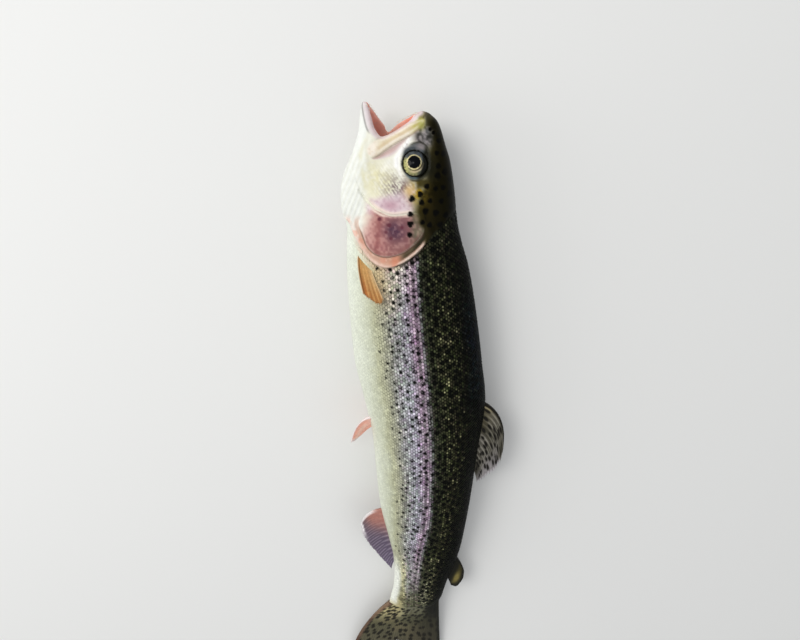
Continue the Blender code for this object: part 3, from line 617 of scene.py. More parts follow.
def noise(s, x, w, size, seed=0.0):
    """Smooth seeded noise, 0 to 1, with lumps of about a size in millimetres."""
    p = [(np.asarray(v, dtype=float) / size + seed * (3.7 + k)) % 64.0 for k, v in enumerate(np.broadcast_arrays(s, x, w))]
    i = [np.floor(v).astype(int) for v in p]
    f = [v - np.floor(v) for v in p]
    f = [t * t * (3 - 2 * t) for t in f]
    total = 0.0
    for a in (0, 1):
        for b in (0, 1):
            for c in (0, 1):
                total = total + (LATTICE[(i[0] + a) % 64, (i[1] + b) % 64, (i[2] + c) % 64]
                                 * (f[0] if a else 1 - f[0]) * (f[1] if b else 1 - f[1]) * (f[2] if c else 1 - f[2]))
    return total


BANDS = ((-45, (249, 250, 244)), (-30, (226, 230, 218)), (-24, (210, 214, 196)), (-20, (200, 203, 179)), (-17.5, (188, 189, 159)),
         (-15.4, (179, 179, 153)), (-13.4, (166, 166, 148)), (-10.5, (155, 155, 151)), (-6.5, (154, 154, 157)),
         (-4.4, (155, 151, 160)), (-3.0, (158, 146, 160)), (-1.3, (160, 139, 155)), (0.8, (154, 133, 148)),
         (2.2, (146, 133, 144)), (3.4, (104, 104, 104)), (4.8, (59, 61, 49)), (7.5, (46, 49, 35)),
         (11, (35, 37, 24)), (16, (27, 28, 18)), (23, (14, 16, 12)), (40, (6, 8, 8)))


def band_colour(q):
    k = np.array([b[0] for b in BANDS], dtype=float)
    return np.stack([np.interp(q, k, [b[1][c] for b in BANDS]) for c in range(3)], axis=-1)


def over(col, mask, rgb):
    """Lays a colour over others by a mask of 0 to 1."""
    m = np.clip(mask, 0.0, 1.0)[..., None]
    return col * (1 - m) + np.array(rgb, dtype=float) * m


def flank_measure(s, x):
    """Height from the lateral line, in units that shrink with the body's depth."""
    deep = np.clip((back(s) - belly(s)) / 57.8, 0.3, 1.2)
    q = (x - lateral(s)) / deep ** 0.8
    q = np.where(q < -3.5, -3.5 + (q + 3.5) * (1.0 + 0.35 * step(215, 240, s)), q)
    return q * (1.0 + 0.45 * step(150, 85, s) * step(0.0, 2.0, q) * step(16.0, 6.0, q))


def trunk_colour(s, x, w):
    wave = 0.9 * (noise(s, x, w, 9.0, 1.0) - 0.5) + 0.9 * (noise(s, x, w, 2.6, 2.0) - 0.5)
    q = flank_measure(s, x) + wave * np.interp(np.abs(flank_measure(s, x)), [0, 6, 14], [1.2, 1.6, 2.2])
    col = band_colour(q)
    # the shoulder, behind the gill cover, is paler and pinker low down
    col = over(col, 0.65 * step(78, 62, s) * bump(q + 6.5, 5.0), (238, 226, 212))
    col = over(col, 0.42 * step(95, 130, s) * step(225, 190, s) * bump(q + 5.0, 5.0), (184, 184, 196))
    # the thin rear of the fin behind the gill cover tints the skin it lies on
    col = over(col, 0.75 * bump(np.hypot((s - 67.0 - 0.9 * (x + 8)) / 2.3, x + 8.2), 3.9) * step(0.0, 4.0, w), (204, 176, 132))
    # a painted blue reflection high on the back, before the dorsal fin
    col = over(col, 0.60 * step(68, 88, s) * step(134, 114, s) * step(19, 23, q), (7, 15, 25))
    col = over(col, 0.55 * step(55, 70, s) * step(90, 75, s) * bump(q + 10.0, 4.0), (182, 172, 150))
    # root of the tail: white edge, yellow beside it
    tail = step(205, 232, s)
    col = over(col, 0.8 * tail * bump(q + 11.8, 3.6), (197, 192, 149))
    col = over(col, 0.55 * tail * step(2, 5, q) * step(22, 8, q), (88, 88, 70))
    col = over(col, 0.78 * tail * step(-9, -5, q) * step(5, 2, q), (160, 155, 155))
    col = over(col, 0.75 * step(228, 248, s) * step(-8, -4, q) * step(14, 8, q), (106, 106, 90))
    col = over(col, 0.6 * step(232, 250, s) * step(5, 2, q) * step(0.35, 0.7, noise(s, x, w, 3.0, 21.0)), (60, 60, 48))
    rise = x - belly(np.minimum(s, 249.0))
    col = over(col, 0.80 * step(240, 251, s) * step(4.0, 7.5, rise) * step(21.0, 16.0, rise), (114, 113, 90))
    col = over(col, 0.85 * step(238, 250, s) * step(9.0, 5.0, rise), (184, 176, 130))
    col = over(col, 0.70 * step(246, 256, s) * step(7.0, 3.0, rise), (206, 190, 138))
    col = over(col, 0.5 * step(236, 250, s) * step(18.0, 14.0, rise) * step(0.5, 0.72, noise(s, x, w, 1.3, 23.0)), (74, 71, 54))
    col = over(col, step(212, 232, s) * step(259, 250, s) * step(4.8, 2.4, rise), (236, 238, 228))
    return col


def head_colour(s, x, w):
    aw = np.abs(w)
    col = np.zeros(np.broadcast(s, x).shape + (3,)) + np.array((230.0, 228.0, 212.0))
    fine = noise(s, x, w, 0.9, 3.0)
    mid = noise(s, x, w, 2.4, 4.0)
    ahead_ = c_ahead(s, x)
    op = c_opercle(s, x)
    pre_front, pre_rear = c_pre_front(s, x), c_pre_rear(s, x)
    orbit = c_orbit(s, x)
    # throat and jaw
    throat = step(-11.5, -14.5, x + 0.10 * (s - 20))
    col = over(col, throat, (231, 233, 228))
    ray = 0.5 + 0.5 * np.sin((x + 0.42 * s) * 3.1 + 0.6 * np.sin(s * 0.21))
    col = over(col, 0.35 * throat * ray * step(13, 20, s), (214, 214, 198))
    streak = bump(line_distance([(12, -14.0), (17.5, -15.8), (23.5, -15.0), (30, -13.6)], s, x), 0.85)
    col = over(col, 0.40 * streak * step(0.1, 0.8, noise(s, x, w, 3.0, 13.0)), (216, 206, 152))
    col = over(col, 0.30 * bump(line_distance([(9, -12.6), (15, -13.4), (21, -12.6)], s, x), 0.8), (206, 198, 170))
    # cheek
    col = over(col, 0.85 * bump(np.hypot((s - 26.5) / 1.35, (x + 8.2)), 5.6) * step(0.15, 0.6, 0.5 * mid + 0.5 * fine), (216, 210, 166))
    col = over(col, 0.55 * bump(np.hypot((s - 21.5), (x + 5.0) / 1.2), 3.0), (240, 240, 238))
    hatch = 0.5 + 0.5 * np.sin((s * 0.75 - x) * 4.6 + 2.6 * mid)
    speck = 0.50 * noise(s, x, w, 0.6, 11.0) + 0.20 * hatch + 0.30 * noise(s, x, w, 1.5, 12.0)
    col = over(col, 0.30 * step(0.50, 0.90, hatch) * bump(np.hypot((s - 27.5) / 1.3, (x + 4.5)), 5.0), (196, 188, 156))
    col = over(col, 0.92 * np.clip(1.3 * bump(np.hypot((s - 30.6) / 1.1, (x + 0.2) / 1.25), 4.2), 0, 1) * step(0.36, 0.60, speck), (118, 102, 104))
    col = over(col, 0.7 * bump(np.hypot(s - 29.6, (x - 1.2) / 1.2), 2.2) * step(0.35, 0.6, fine), (112, 88, 104))
    col = over(col, 0.5 * bump(np.hypot((s - 25.6) / 1.1, (x + 5.2) / 1.6), 3.6) * step(0.45, 0.7, speck), (186, 180, 158))
    # plate before the gill cover
    plate = step(0.2, 1.2, pre_rear) * step(31.0, 34.5, s + 0.25 * (x + 4)) * step(41.0, 39.6, s) * step(-15, -11.5, x) * step(7.0, 5.0, x)
    col = over(col, 0.85 * plate, (218, 198, 206))
    col = over(col, 0.85 * bump(np.hypot((s - 36.6) / 0.9, (x + 3.8) / 1.5), 2.3), (190, 150, 162))
    col = over(col, 0.45 * plate * step(0.5, 0.75, fine), (176, 142, 156))
    # gill cover
    cover = step(-0.2, 0.5, op)
    fade = step(-17.5, -10.0, x + 0.45 * (s - 44.0) + 1.6 * (mid - 0.5))
    rose = np.zeros(col.shape) + np.array((174.0, 122.0, 116.0))
    rose = over(rose, 0.35 * step(0.45, 0.7, mid), (196, 150, 142))
    rose = over(rose, 0.35 * step(0.55, 0.3, mid), (154, 104, 108))
    rose = over(rose, 0.8 * step(-9.5, -14.5, x), (212, 172, 164))
    rose = over(rose, 0.75 * bump(x + 8.8 + 0.10 * (s - 48), 1.1), (150, 92, 90))
    rose = over(rose, 0.6 * bump(np.hypot((s - 49.5) / 1.5, x + 4.5), 3.4), (188, 128, 122))
    rose = over(rose, 0.50 * step(-8.0, -2.0, x), (120, 84, 84))
    rose = over(rose, 0.95 * bump(np.hypot((s - 46.4) / 1.15, (x + 2.0) / 1.2), 3.4), (62, 41, 62))
    rose = over(rose, 0.55 * bump(np.hypot((s - 44.0) / 1.2, (x - 1.2)), 3.0), (128, 88, 96))
    rose = over(rose, 0.85 * step(3.0, 6.4, x), (92, 88, 72))
    rose = over(rose, 0.6 * bump(np.hypot((s - 46.8), (x - 7.8)), 2.0), (142, 138, 112))
    rose = over(rose, 0.35 * step(0.52, 0.75, fine), (206, 162, 154))
    rose = over(rose, 0.30 * step(0.45, 0.25, fine), (122, 76, 80))
    for a, b, r in ((44.2, -4.4, 0.8), (41.9, -8.2, 0.7), (49.4, -3.6, 0.6), (47.0, -5.6, 0.5), (45.0, 0.8, 0.6)):
        rose = over(rose, 0.8 * step(r + 0.35, r - 0.2, np.hypot(s - a, x - b)), (92, 44, 56))
    # membrane behind and below it
    film = step(0.3, -0.5, op) * step(-0.3, 0.3, ahead_) * step(40.5, 44.5, s + 0.25 * np.maximum(x - 4, 0.0) * 0 + 0.0) * step(14, 10, x)
    film = film * step(-30, -16.5 - 0.0, x)
    col = over(col, 0.9 * film * step(-19.5, -15.5, x), (203, 158, 136))
    col = over(col, 0.6 * film * bump(ahead_ - 0.7, 0.7), (228, 204, 192))
    col = over(col, 0.5 * film * bump(op + 1.4, 0.6), (182, 146, 130))
    col = over(col, 0.45 * film * step(0.5, 0.7, mid), (222, 148, 124))
    col = over(col, 0.40 * film * step(0.55, 0.75, noise(s, x, w, 0.9, 19.0)), (232, 206, 190))
    col = over(col, 0.50 * film * bump(np.hypot((s - 58.8) / 1.0, (x + 1.8) / 1.3), 2.4), (196, 116, 84))
    # painted shadow: the upper membrane is darkened where the gill cover's rear edge overhangs it, with a dark line
    # along that edge
    col = over(col, 0.95 * film * step(-1.6, 2.6, x) * step(1.0, 1.6, ahead_), (70, 60, 42))
    col = over(col, 0.60 * film * step(-1.0, 4.0, x) * bump(op + 0.9, 0.3), (112, 104, 84))
    col = over(col, 0.85 * film * step(-2.4, 0.5, x) * bump(ahead_ - 0.62, 0.42), (226, 212, 198))
    # painted shadow under the cover's edge, darkest high up
    col = over(col, 0.90 * film * step(4.0, 7.5, x) * step(1.0, 1.8, ahead_), (42, 40, 28))
    rose = over(rose, 0.5 * bump(op - 1.2, 0.5) * step(46, 50, s), (138, 92, 86))
    cover = cover * fade
    col = col * (1 - cover[..., None]) + rose * cover[..., None]
    # painted shade: a dark line just outside the gill cover's rear edge
    col = over(col, 0.75 * bump(op + 0.15, 0.32) * step(45.0, 49, s), (96, 70, 60))
    col = over(col, 0.9 * bump(pre_rear - 0.95, 0.55) * step(-13.5, -10.0, x) * step(41.4, 40.6, s) * step(5.4, 3.2, x), (236, 218, 204))
    # top of the head
    e = x - TOP_EDGE(s) + 1.3 * (mid - 0.5) + 3.0 * step(4.0, 0.5, s) * (noise(s, x, w, 1.9, 17.0) - 0.5)
    col = over(col, 0.70 * step(-3.0, 0.2, e) * step(10, 13, s) * step(46, 40, s), (112, 106, 80))
    col = over(col, step(-0.9, 1.2, e), (44, 39, 17))
    col = over(col, step(0.8, 4.0, e), (18, 15, 1))
    col = over(col, 0.30 * step(0.50, 0.72, mid) * step(0.0, 2.0, e) * step(9.0, 4.0, e), (46, 40, 14))
    col = over(col, 0.45 * bump(np.hypot((s - 36.5) / 1.6, (x - 10.5)), 3.4), (58, 48, 12))
    col = over(col, 0.8 * step(17.0, 22.0, x), (8, 8, 2))
    # snout
    col = over(col, 0.85 * step(10.5, 6.0, s) * step(6.6, 7.8, x) * step(10.2, 9.0, x + 0.12 * (s - 5)), (130, 124, 46))
    col = over(col, 0.75 * bump(line_distance([(3.0, 10.6), (6.0, 10.6), (9.0, 9.6)], s, x), 0.8), (46, 44, 26))
    col = over(col, 0.85 * bump(np.hypot(s - 1.3, x - 8.8), 1.9), (182, 172, 164))
    col = over(col, 0.7 * bump(line_distance([(0.6, 10.4), (2.4, 10.0), (3.6, 9.2)], s, x), 0.45), (70, 60, 44))
    col = over(col, 0.6 * bump(line_distance([(-0.2, 9.4), (1.6, 9.0), (3.0, 8.2)], s, x), 0.35), (110, 92, 84))
    col = over(col, 0.5 * bump(np.hypot(s - 3.2, x - 12.4), 1.5), (96, 90, 76))
    # under the eye: silver edge
    white = bump(c_suborb(s, x), 1.05) * step(9.5, 12.0, s)
    col = over(col, 0.95 * white, (250, 249, 248))
    col = over(col, 0.6 * white * step(0.55, 0.72, noise(s, x, w, 0.45, 15.0)) * step(17.0, 12.0, s), (150, 132, 132))
    col = over(col, 0.75 * bump(orbit + 1.4, 0.9) * step(2.0, -0.5, x) * step(28, 25, s), (246, 245, 242))
    # before the eye: mottled grey up to the nostrils
    front = step(0.0, 0.8, 1.4 * np.clip(bump(np.hypot((s - 10.8) / 1.1, (x - 9.6) / 1.15), 4.2), 0, 1) - 0.25)
    grey = np.zeros(col.shape) + np.array((94.0, 92.0, 90.0))
    grey = over(grey, 0.75 * step(0.54, 0.70, fine), (158, 150, 150))
    grey = over(grey, 0.75 * step(0.44, 0.30, fine), (48, 47, 44))
    grey = over(grey, 0.45 * bump(line_distance([(9.0, 9.2), (13.0, 10.2), (16.0, 12.0)], s, x), 0.9), (176, 168, 172))
    grey = over(grey, 0.7 * bump(line_distance([(11.0, 6.6), (13.2, 8.4), (16.0, 10.4)], s, x), 0.45), (44, 42, 40))
    grey = over(grey, 0.6 * step(7.4, 5.6, x), (170, 160, 156))
    grey = over(grey, 0.8 * step(10.4, 12.0, x + 0.3 * (s - 9)) * step(13, 10.5, s), (40, 40, 36))
    front = front * step(4.0, 1.0, e) * step(3.4, 5.0, x)
    col = col * (1 - front[..., None]) + grey * front[..., None]
    # golden patch behind the eye
    gold = bump(np.hypot((s - 31.2) / 1.15, (x - 6.9) / 0.9), 3.6)
    col = over(col, np.clip(1.2 * gold * step(0.22, 0.55, 0.6 * mid + 0.4 * fine), 0, 1), (160, 132, 40))
    col = over(col, 0.85 * bump(np.hypot((s - 30.6) / 0.9, (x - 3.8)), 2.3), (220, 184, 132))
    under = step(26.0, 27.4, s) * step(31.5, 29.5, s + 0.25 * (x - 6)) * step(3.6, 6.0, x) * step(12, 10, x)
    col = over(col, 0.65 * under * step(6.0, 4.0, x), (148, 138, 108))
    col = over(col, 0.88 * under * step(5.4, 7.6, x), (56, 49, 18))
    # socket
    lid = step(-0.2, 0.9, orbit)
    near_eye = np.hypot(s - EYE_S + 0.9, x - EYE_X)
    arcs = 0.5 + 0.5 * np.sin(near_eye * 4.2)
    lid_colour = np.zeros(col.shape) + np.array((74.0, 82.0, 86.0))
    lid_colour = over(lid_colour, 0.55 * arcs * step(20, 17, s), (136, 132, 132))
    lid_colour = over(lid_colour, 0.6 * step(16.4, 14.8, s) * step(5.0, 8.0, x), (162, 148, 148))
    lid_colour = over(lid_colour, step(2.6, 1.2, x) * step(24.0, 22, s) * step(17.5, 19.5, s), (232, 230, 222))
    lid_colour = over(lid_colour, 0.8 * step(23.6, 25.0, s) * step(10.0, 7.0, x), (84, 98, 102))
    lid_colour = over(lid_colour, 0.96 * step(7.6, 9.6, x + 0.25 * (s - 20)), (22, 22, 14))
    col = col * (1 - lid[..., None]) + lid_colour * lid[..., None]
    col = over(col, 0.7 * bump(orbit - 0.05, 0.36) * step(12.5, 14.5, s + 0.8 * (x - 3)) * step(3.0, 5.0, x), (34, 34, 27))
    col = over(col, 0.85 * bump(np.hypot((s - 22.6) / 1.5, (x - 12.2) / 0.9), 3.0), (24, 24, 14))
    col = over(col, 0.9 * step(5.35, 4.95, near_eye), (18, 18, 15))
    # wedge behind the maxilla, and the maxilla
    fold_ = c_fold(s, x)
    mx = c_maxilla(s, x)
    col = over(col, step(-0.3, 0.8, fold_), (214, 200, 200))
    col = over(col, 0.75 * step(0.4, 1.6, fold_) * step(-4.0, -1.6, mx), (198, 164, 156))
    col = over(col, 0.6 * step(0.0, 0.8, fold_) * step(-1.8, -0.6, mx), (166, 124, 112))
    blade = step(-0.3, 0.6, mx)
    bone = np.zeros(col.shape) + np.array((228.0, 216.0, 188.0))
    bone = over(bone, 0.85 * step(2.6, 6.2, x), (182, 170, 86))
    bone = over(bone, 0.55 * bump(line_distance([(7.5, 4.2), (10.8, -1.6), (14.2, -7.4), (15.6, -9.6)], s, x), 0.7), (204, 178, 138))
    bone = over(bone, 0.7 * bump(mx - 0.9, 0.5) * step(-10, -6, x), (246, 238, 228))
    bone = over(bone, 0.7 * step(-7.0, -10.5, x), (240, 232, 224))
    bone = over(bone, 0.3 * step(0.52, 0.75, fine), (206, 180, 152))
    col = col * (1 - blade[..., None]) + bone * blade[..., None]
    col = over(col, 0.6 * bump(mx + 0.2, 0.35) * step(4.5, 7.5, s) * step(-11.0, -8.0, x + 0.2 * (s - 14)), (136, 112, 96))
    col = over(col, 0.80 * bump(np.hypot((s - 6.4) / 1.2, (x - 8.3)), 1.5), (164, 164, 80))
    # nostrils
    col = over(col, 0.65 * bump(np.hypot(s - 8.6, x - 10.9), 0.8), (112, 116, 120))
    for a, b in NOSTRILS:
        d = np.hypot(s - a, x - b)
        col = over(col, 0.5 * bump(d - 1.0, 0.3) * step(0.3, -0.3, x - b), (104, 100, 96))
        # painted shade: each nostril pit is filled near black
        col = over(col, step(0.95, 0.45, d), (14, 13, 11))
    # spots
    d = np.full(col.shape[:-1], 9.0)
    for k, (a, b) in enumerate(HEAD_SPOTS):
        d = np.minimum(d, np.hypot(s - a, x - b) - (0.98 + 0.16 * sin(5.0 * k)) * (1.0 + 0.12 * np.sin(3 * np.arctan2(x - b, s - a) + k)))
    d = np.where(aw < 2.0, 9.0, d)
    col = over(col, 0.96 * step(0.35, -0.1, d), (3, 3, 2))
    # small freckles on the crown
    lattice = noise(s, x, w, 2.7, 9.0)
    col = over(col, 0.5 * step(0.70, 0.82, lattice) * step(2.0, 4.0, e), (6, 6, 3))
    # lips
    g = c_gape(s, x)
    lip = step(-1.9, -0.6, g) * step(12.5, 10.5, s)
    upper = step(-5.0, -3.0, x) * step(10, 8.5, x)
    col = over(col, 0.85 * lip * upper * step(6.5, 4.5, s), (232, 216, 220))
    lower = step(-8.5, -9.5, x)
    col = over(col, 0.75 * lip * lower, (214, 200, 204))
    col = over(col, 0.65 * lower * bump(g + 1.7, 0.35) * step(10, 8, s), (112, 106, 106))
    return col


def mouth_colour(s, x, w):
    """Salmon floor, paler sides, coral palate, darker throat."""
    low, top = mouth_low(s), mouth_top(s)
    h = np.clip((x - low) / (top - low), 0, 1)
    col = np.zeros(np.shape(s) + (3,)) + np.array((232.0, 166.0, 148.0))
    col = over(col, 0.8 * step(0.20, 0.5, h), (240, 196, 178))
    col = over(col, 0.8 * step(0.6, 0.9, h), (238, 142, 118))
    col = over(col, 0.7 * step(16, 32, s), (150, 66, 56))
    col = over(col, 0.25 * step(0.5, 0.7, noise(s, x, w, 1.2, 6.0)), (238, 200, 190))
    return col


def linear(col):
    c = np.clip(col, 0, 255) / 255.0
    return np.where(c <= 0.04045, c / 12.92, ((c + 0.055) / 1.055) ** 2.4)


def body_colour(s, x, w, with_spots=True):
    """Colour of skin or scale at a place on the fish, as sRGB 0 to 255."""
    s, x, w = np.broadcast_arrays(s, x, w)
    t = trunk_colour(s, x, w)
    shade = c_ahead(s, x)
    behind = np.maximum(step(0.0, -0.35, shade), step(-0.6, 1.6, nape_gap(s, x)))
    # shadowed skin just behind the gill cover
    t = over(t, 0.85 * step(-2.4, -0.4, shade) * step(13.0, 9.0, x) * step(-3, 2, x), (52, 46, 34))
    t = over(t, 0.60 * step(-2.4, -0.5, shade) * step(2, -3, x) * step(-20.5, -16, x), (206, 178, 158))
    near_head = s < 76
    h = np.zeros_like(t)
    if near_head.any():
        h[near_head] = head_colour(s[near_head], x[near_head], w[near_head])
    k = np.where(near_head, 1.0 - behind, 0.0)[..., None]
    col = t * (1 - k) + h * k
    if with_spots:
        ang = angle_of(s, x, np.abs(w))
        arc = arc_of(s, ang)
        d = np.where(w >= 0, spots[1](s, arc), spots[-1](s, arc))
        d = np.where(k[..., 0] > 0.5, 9.0, d)
        pale = step(210, 222, s) * step(-11.5, -14.5, flank_measure(s, x))
        col = over(col, (0.95 - 0.85 * pale) * step(0.22, -0.15, d), (12, 12, 9))
    return col


# ------------------------------------------------------------ materials
def material(name, roughness, metallic=0.0, coat=0.0, coat_rough=0.12, grain=350.0, grain_amount=0.10, bump_amount=0.15,
             bump_scale=900.0, specular=0.5, rough_swing=0.10, dark_rough=0.0):
    mat = bpy.data.materials.new(name)
    mat.use_nodes = True
    nt = mat.node_tree
    p = nt.nodes["Principled BSDF"]
    p.inputs["Metallic"].default_value = metallic
    p.inputs["Coat Weight"].default_value = coat
    p.inputs["Coat Roughness"].default_value = coat_rough
    p.inputs["Specular IOR Level"].default_value = specular
    attr = nt.nodes.new("ShaderNodeAttribute")
    attr.attribute_name = "Tint"
    coord = nt.nodes.new("ShaderNodeTexCoord")
    n1 = nt.nodes.new("ShaderNodeTexNoise")
    n1.inputs["Scale"].default_value = grain
    n1.inputs["Detail"].default_value = 3.0
    nt.links.new(coord.outputs["Object"], n1.inputs["Vector"])
    r1 = nt.nodes.new("ShaderNodeMapRange")
    r1.inputs["From Min"].default_value = 0.3
    r1.inputs["From Max"].default_value = 0.7
    r1.inputs["To Min"].default_value = 1.0 - grain_amount
    r1.inputs["To Max"].default_value = 1.0 + grain_amount
    nt.links.new(n1.outputs["Fac"], r1.inputs["Value"])
    mul = nt.nodes.new("ShaderNodeVectorMath")
    mul.operation = 'SCALE'
    nt.links.new(attr.outputs["Color"], mul.inputs[0])
    nt.links.new(r1.outputs["Result"], mul.inputs["Scale"])
    nt.links.new(mul.outputs["Vector"], p.inputs["Base Color"])
    if metallic > 0.0:
        r3 = nt.nodes.new("ShaderNodeMapRange")
        r3.inputs["From Min"].default_value = 0.03
        r3.inputs["From Max"].default_value = 0.30
        r3.inputs["To Min"].default_value = 0.0
        r3.inputs["To Max"].default_value = metallic
        nt.links.new(attr.outputs["Fac"], r3.inputs["Value"])
        r5 = nt.nodes.new("ShaderNodeMapRange")
        r5.inputs["From Min"].default_value = 0.40
        r5.inputs["From Max"].default_value = 0.75
        r5.inputs["To Min"].default_value = 1.0
        r5.inputs["To Max"].default_value = 0.15
        nt.links.new(attr.outputs["Fac"], r5.inputs["Value"])
        both = nt.nodes.new("ShaderNodeMath")
        both.operation = 'MULTIPLY'
        nt.links.new(r3.outputs["Result"], both.inputs[0])
        nt.links.new(r5.outputs["Result"], both.inputs[1])
        nt.links.new(both.outputs["Value"], p.inputs["Metallic"])
    r2 = nt.nodes.new("ShaderNodeMapRange")
    r2.inputs["From Min"].default_value = 0.3
    r2.inputs["From Max"].default_value = 0.7
    r2.inputs["To Min"].default_value = roughness - rough_swing * 0.5
    r2.inputs["To Max"].default_value = roughness + rough_swing * 0.5
    nt.links.new(n1.outputs["Fac"], r2.inputs["Value"])
    r4 = nt.nodes.new("ShaderNodeMapRange")
    r4.inputs["From Min"].default_value = 0.01
    r4.inputs["From Max"].default_value = 0.15
    r4.inputs["To Min"].default_value = dark_rough
    r4.inputs["To Max"].default_value = 0.0
    nt.links.new(attr.outputs["Fac"], r4.inputs["Value"])
    add = nt.nodes.new("ShaderNodeMath")
    add.operation = 'ADD'
    nt.links.new(r2.outputs["Result"], add.inputs[0])
    nt.links.new(r4.outputs["Result"], add.inputs[1])
    nt.links.new(add.outputs["Value"], p.inputs["Roughness"])
    if bump_amount > 0.0:
        n2 = nt.nodes.new("ShaderNodeTexNoise")
        n2.inputs["Scale"].default_value = bump_scale
        n2.inputs["Detail"].default_value = 2.0
        nt.links.new(coord.outputs["Object"], n2.inputs["Vector"])
        b = nt.nodes.new("ShaderNodeBump")
        b.inputs["Strength"].default_value = bump_amount
        b.inputs["Distance"].default_value = 0.0002
        nt.links.new(n2.outputs["Fac"], b.inputs["Height"])
        nt.links.new(b.outputs["Normal"], p.inputs["Normal"])
    return mat


skin_mat = material("wet_skin", 0.34, coat=0.03, coat_rough=0.10, grain=420.0, grain_amount=0.05, bump_amount=0.25,
                    bump_scale=1300.0, specular=0.03, dark_rough=0.04)
scale_mat = material("scales", 0.34, metallic=0.20, coat=0.015, coat_rough=0.15, grain=1500.0, grain_amount=0.10, bump_amount=0.0,
                     specular=0.02, dark_rough=0.04)
fin_mat = material("fin", 0.42, coat=0.04, coat_rough=0.2, grain=1100.0, grain_amount=0.12, bump_amount=0.25,
                   bump_scale=1800.0, specular=0.10)
eye_mat = material("eye", 0.25, coat=0.10, coat_rough=0.04, grain=2600.0, grain_amount=0.16, bump_amount=0.0,
                   rough_swing=0.04, specular=0.04)
mouth_mat = material("mouth", 0.28, coat=0.5, coat_rough=0.1, grain=900.0, grain_amount=0.10, bump_amount=0.35, bump_scale=1100.0)
tooth_mat = material("tooth", 0.25, coat=0.4, grain=3000.0, grain_amount=0.04, bump_amount=0.0)


def skin_paint():
    s, x, w = skin_v[:, 0], skin_v[:, 1], skin_v[:, 2]
    col = body_colour(s, x, w)
    m = mouth_field(s, x, np.abs(w))
    near = np.clip((w + 8.0) / 16.0, 0.0, 1.0)
    g = near * c_gape(s, x) + (1 - near) * c_far_gape(s, x)
    wall = np.clip(step(0.9, 0.25, m), 0, 1)
    edge = step(-0.8, -0.2, g) * step(13, 11, s)
    lip_colour = over(np.zeros(col.shape) + np.array((222.0, 200.0, 200.0)), step(-3.0, 1.0, x), (224, 198, 200))
    col = col * (1 - 0.7 * edge[:, None]) + lip_colour * 0.7 * edge[:, None]
    mouth = mouth_colour(s, x, w)
    col = col * (1 - wall[:, None]) + mouth * wall[:, None]
    # painted shade: scaled skin shows only between the scales, so it is darkened there into a dark net
    under = step(-0.6, -1.6, c_ahead(s, x)) * step(256, 250, s) * step(-17.0, -12.0, flank_measure(s, x))
    col = col * (1 - 0.30 * under[:, None])
    paint(skin, linear(col))
    skin.data.materials.append(skin_mat)


skin_paint()


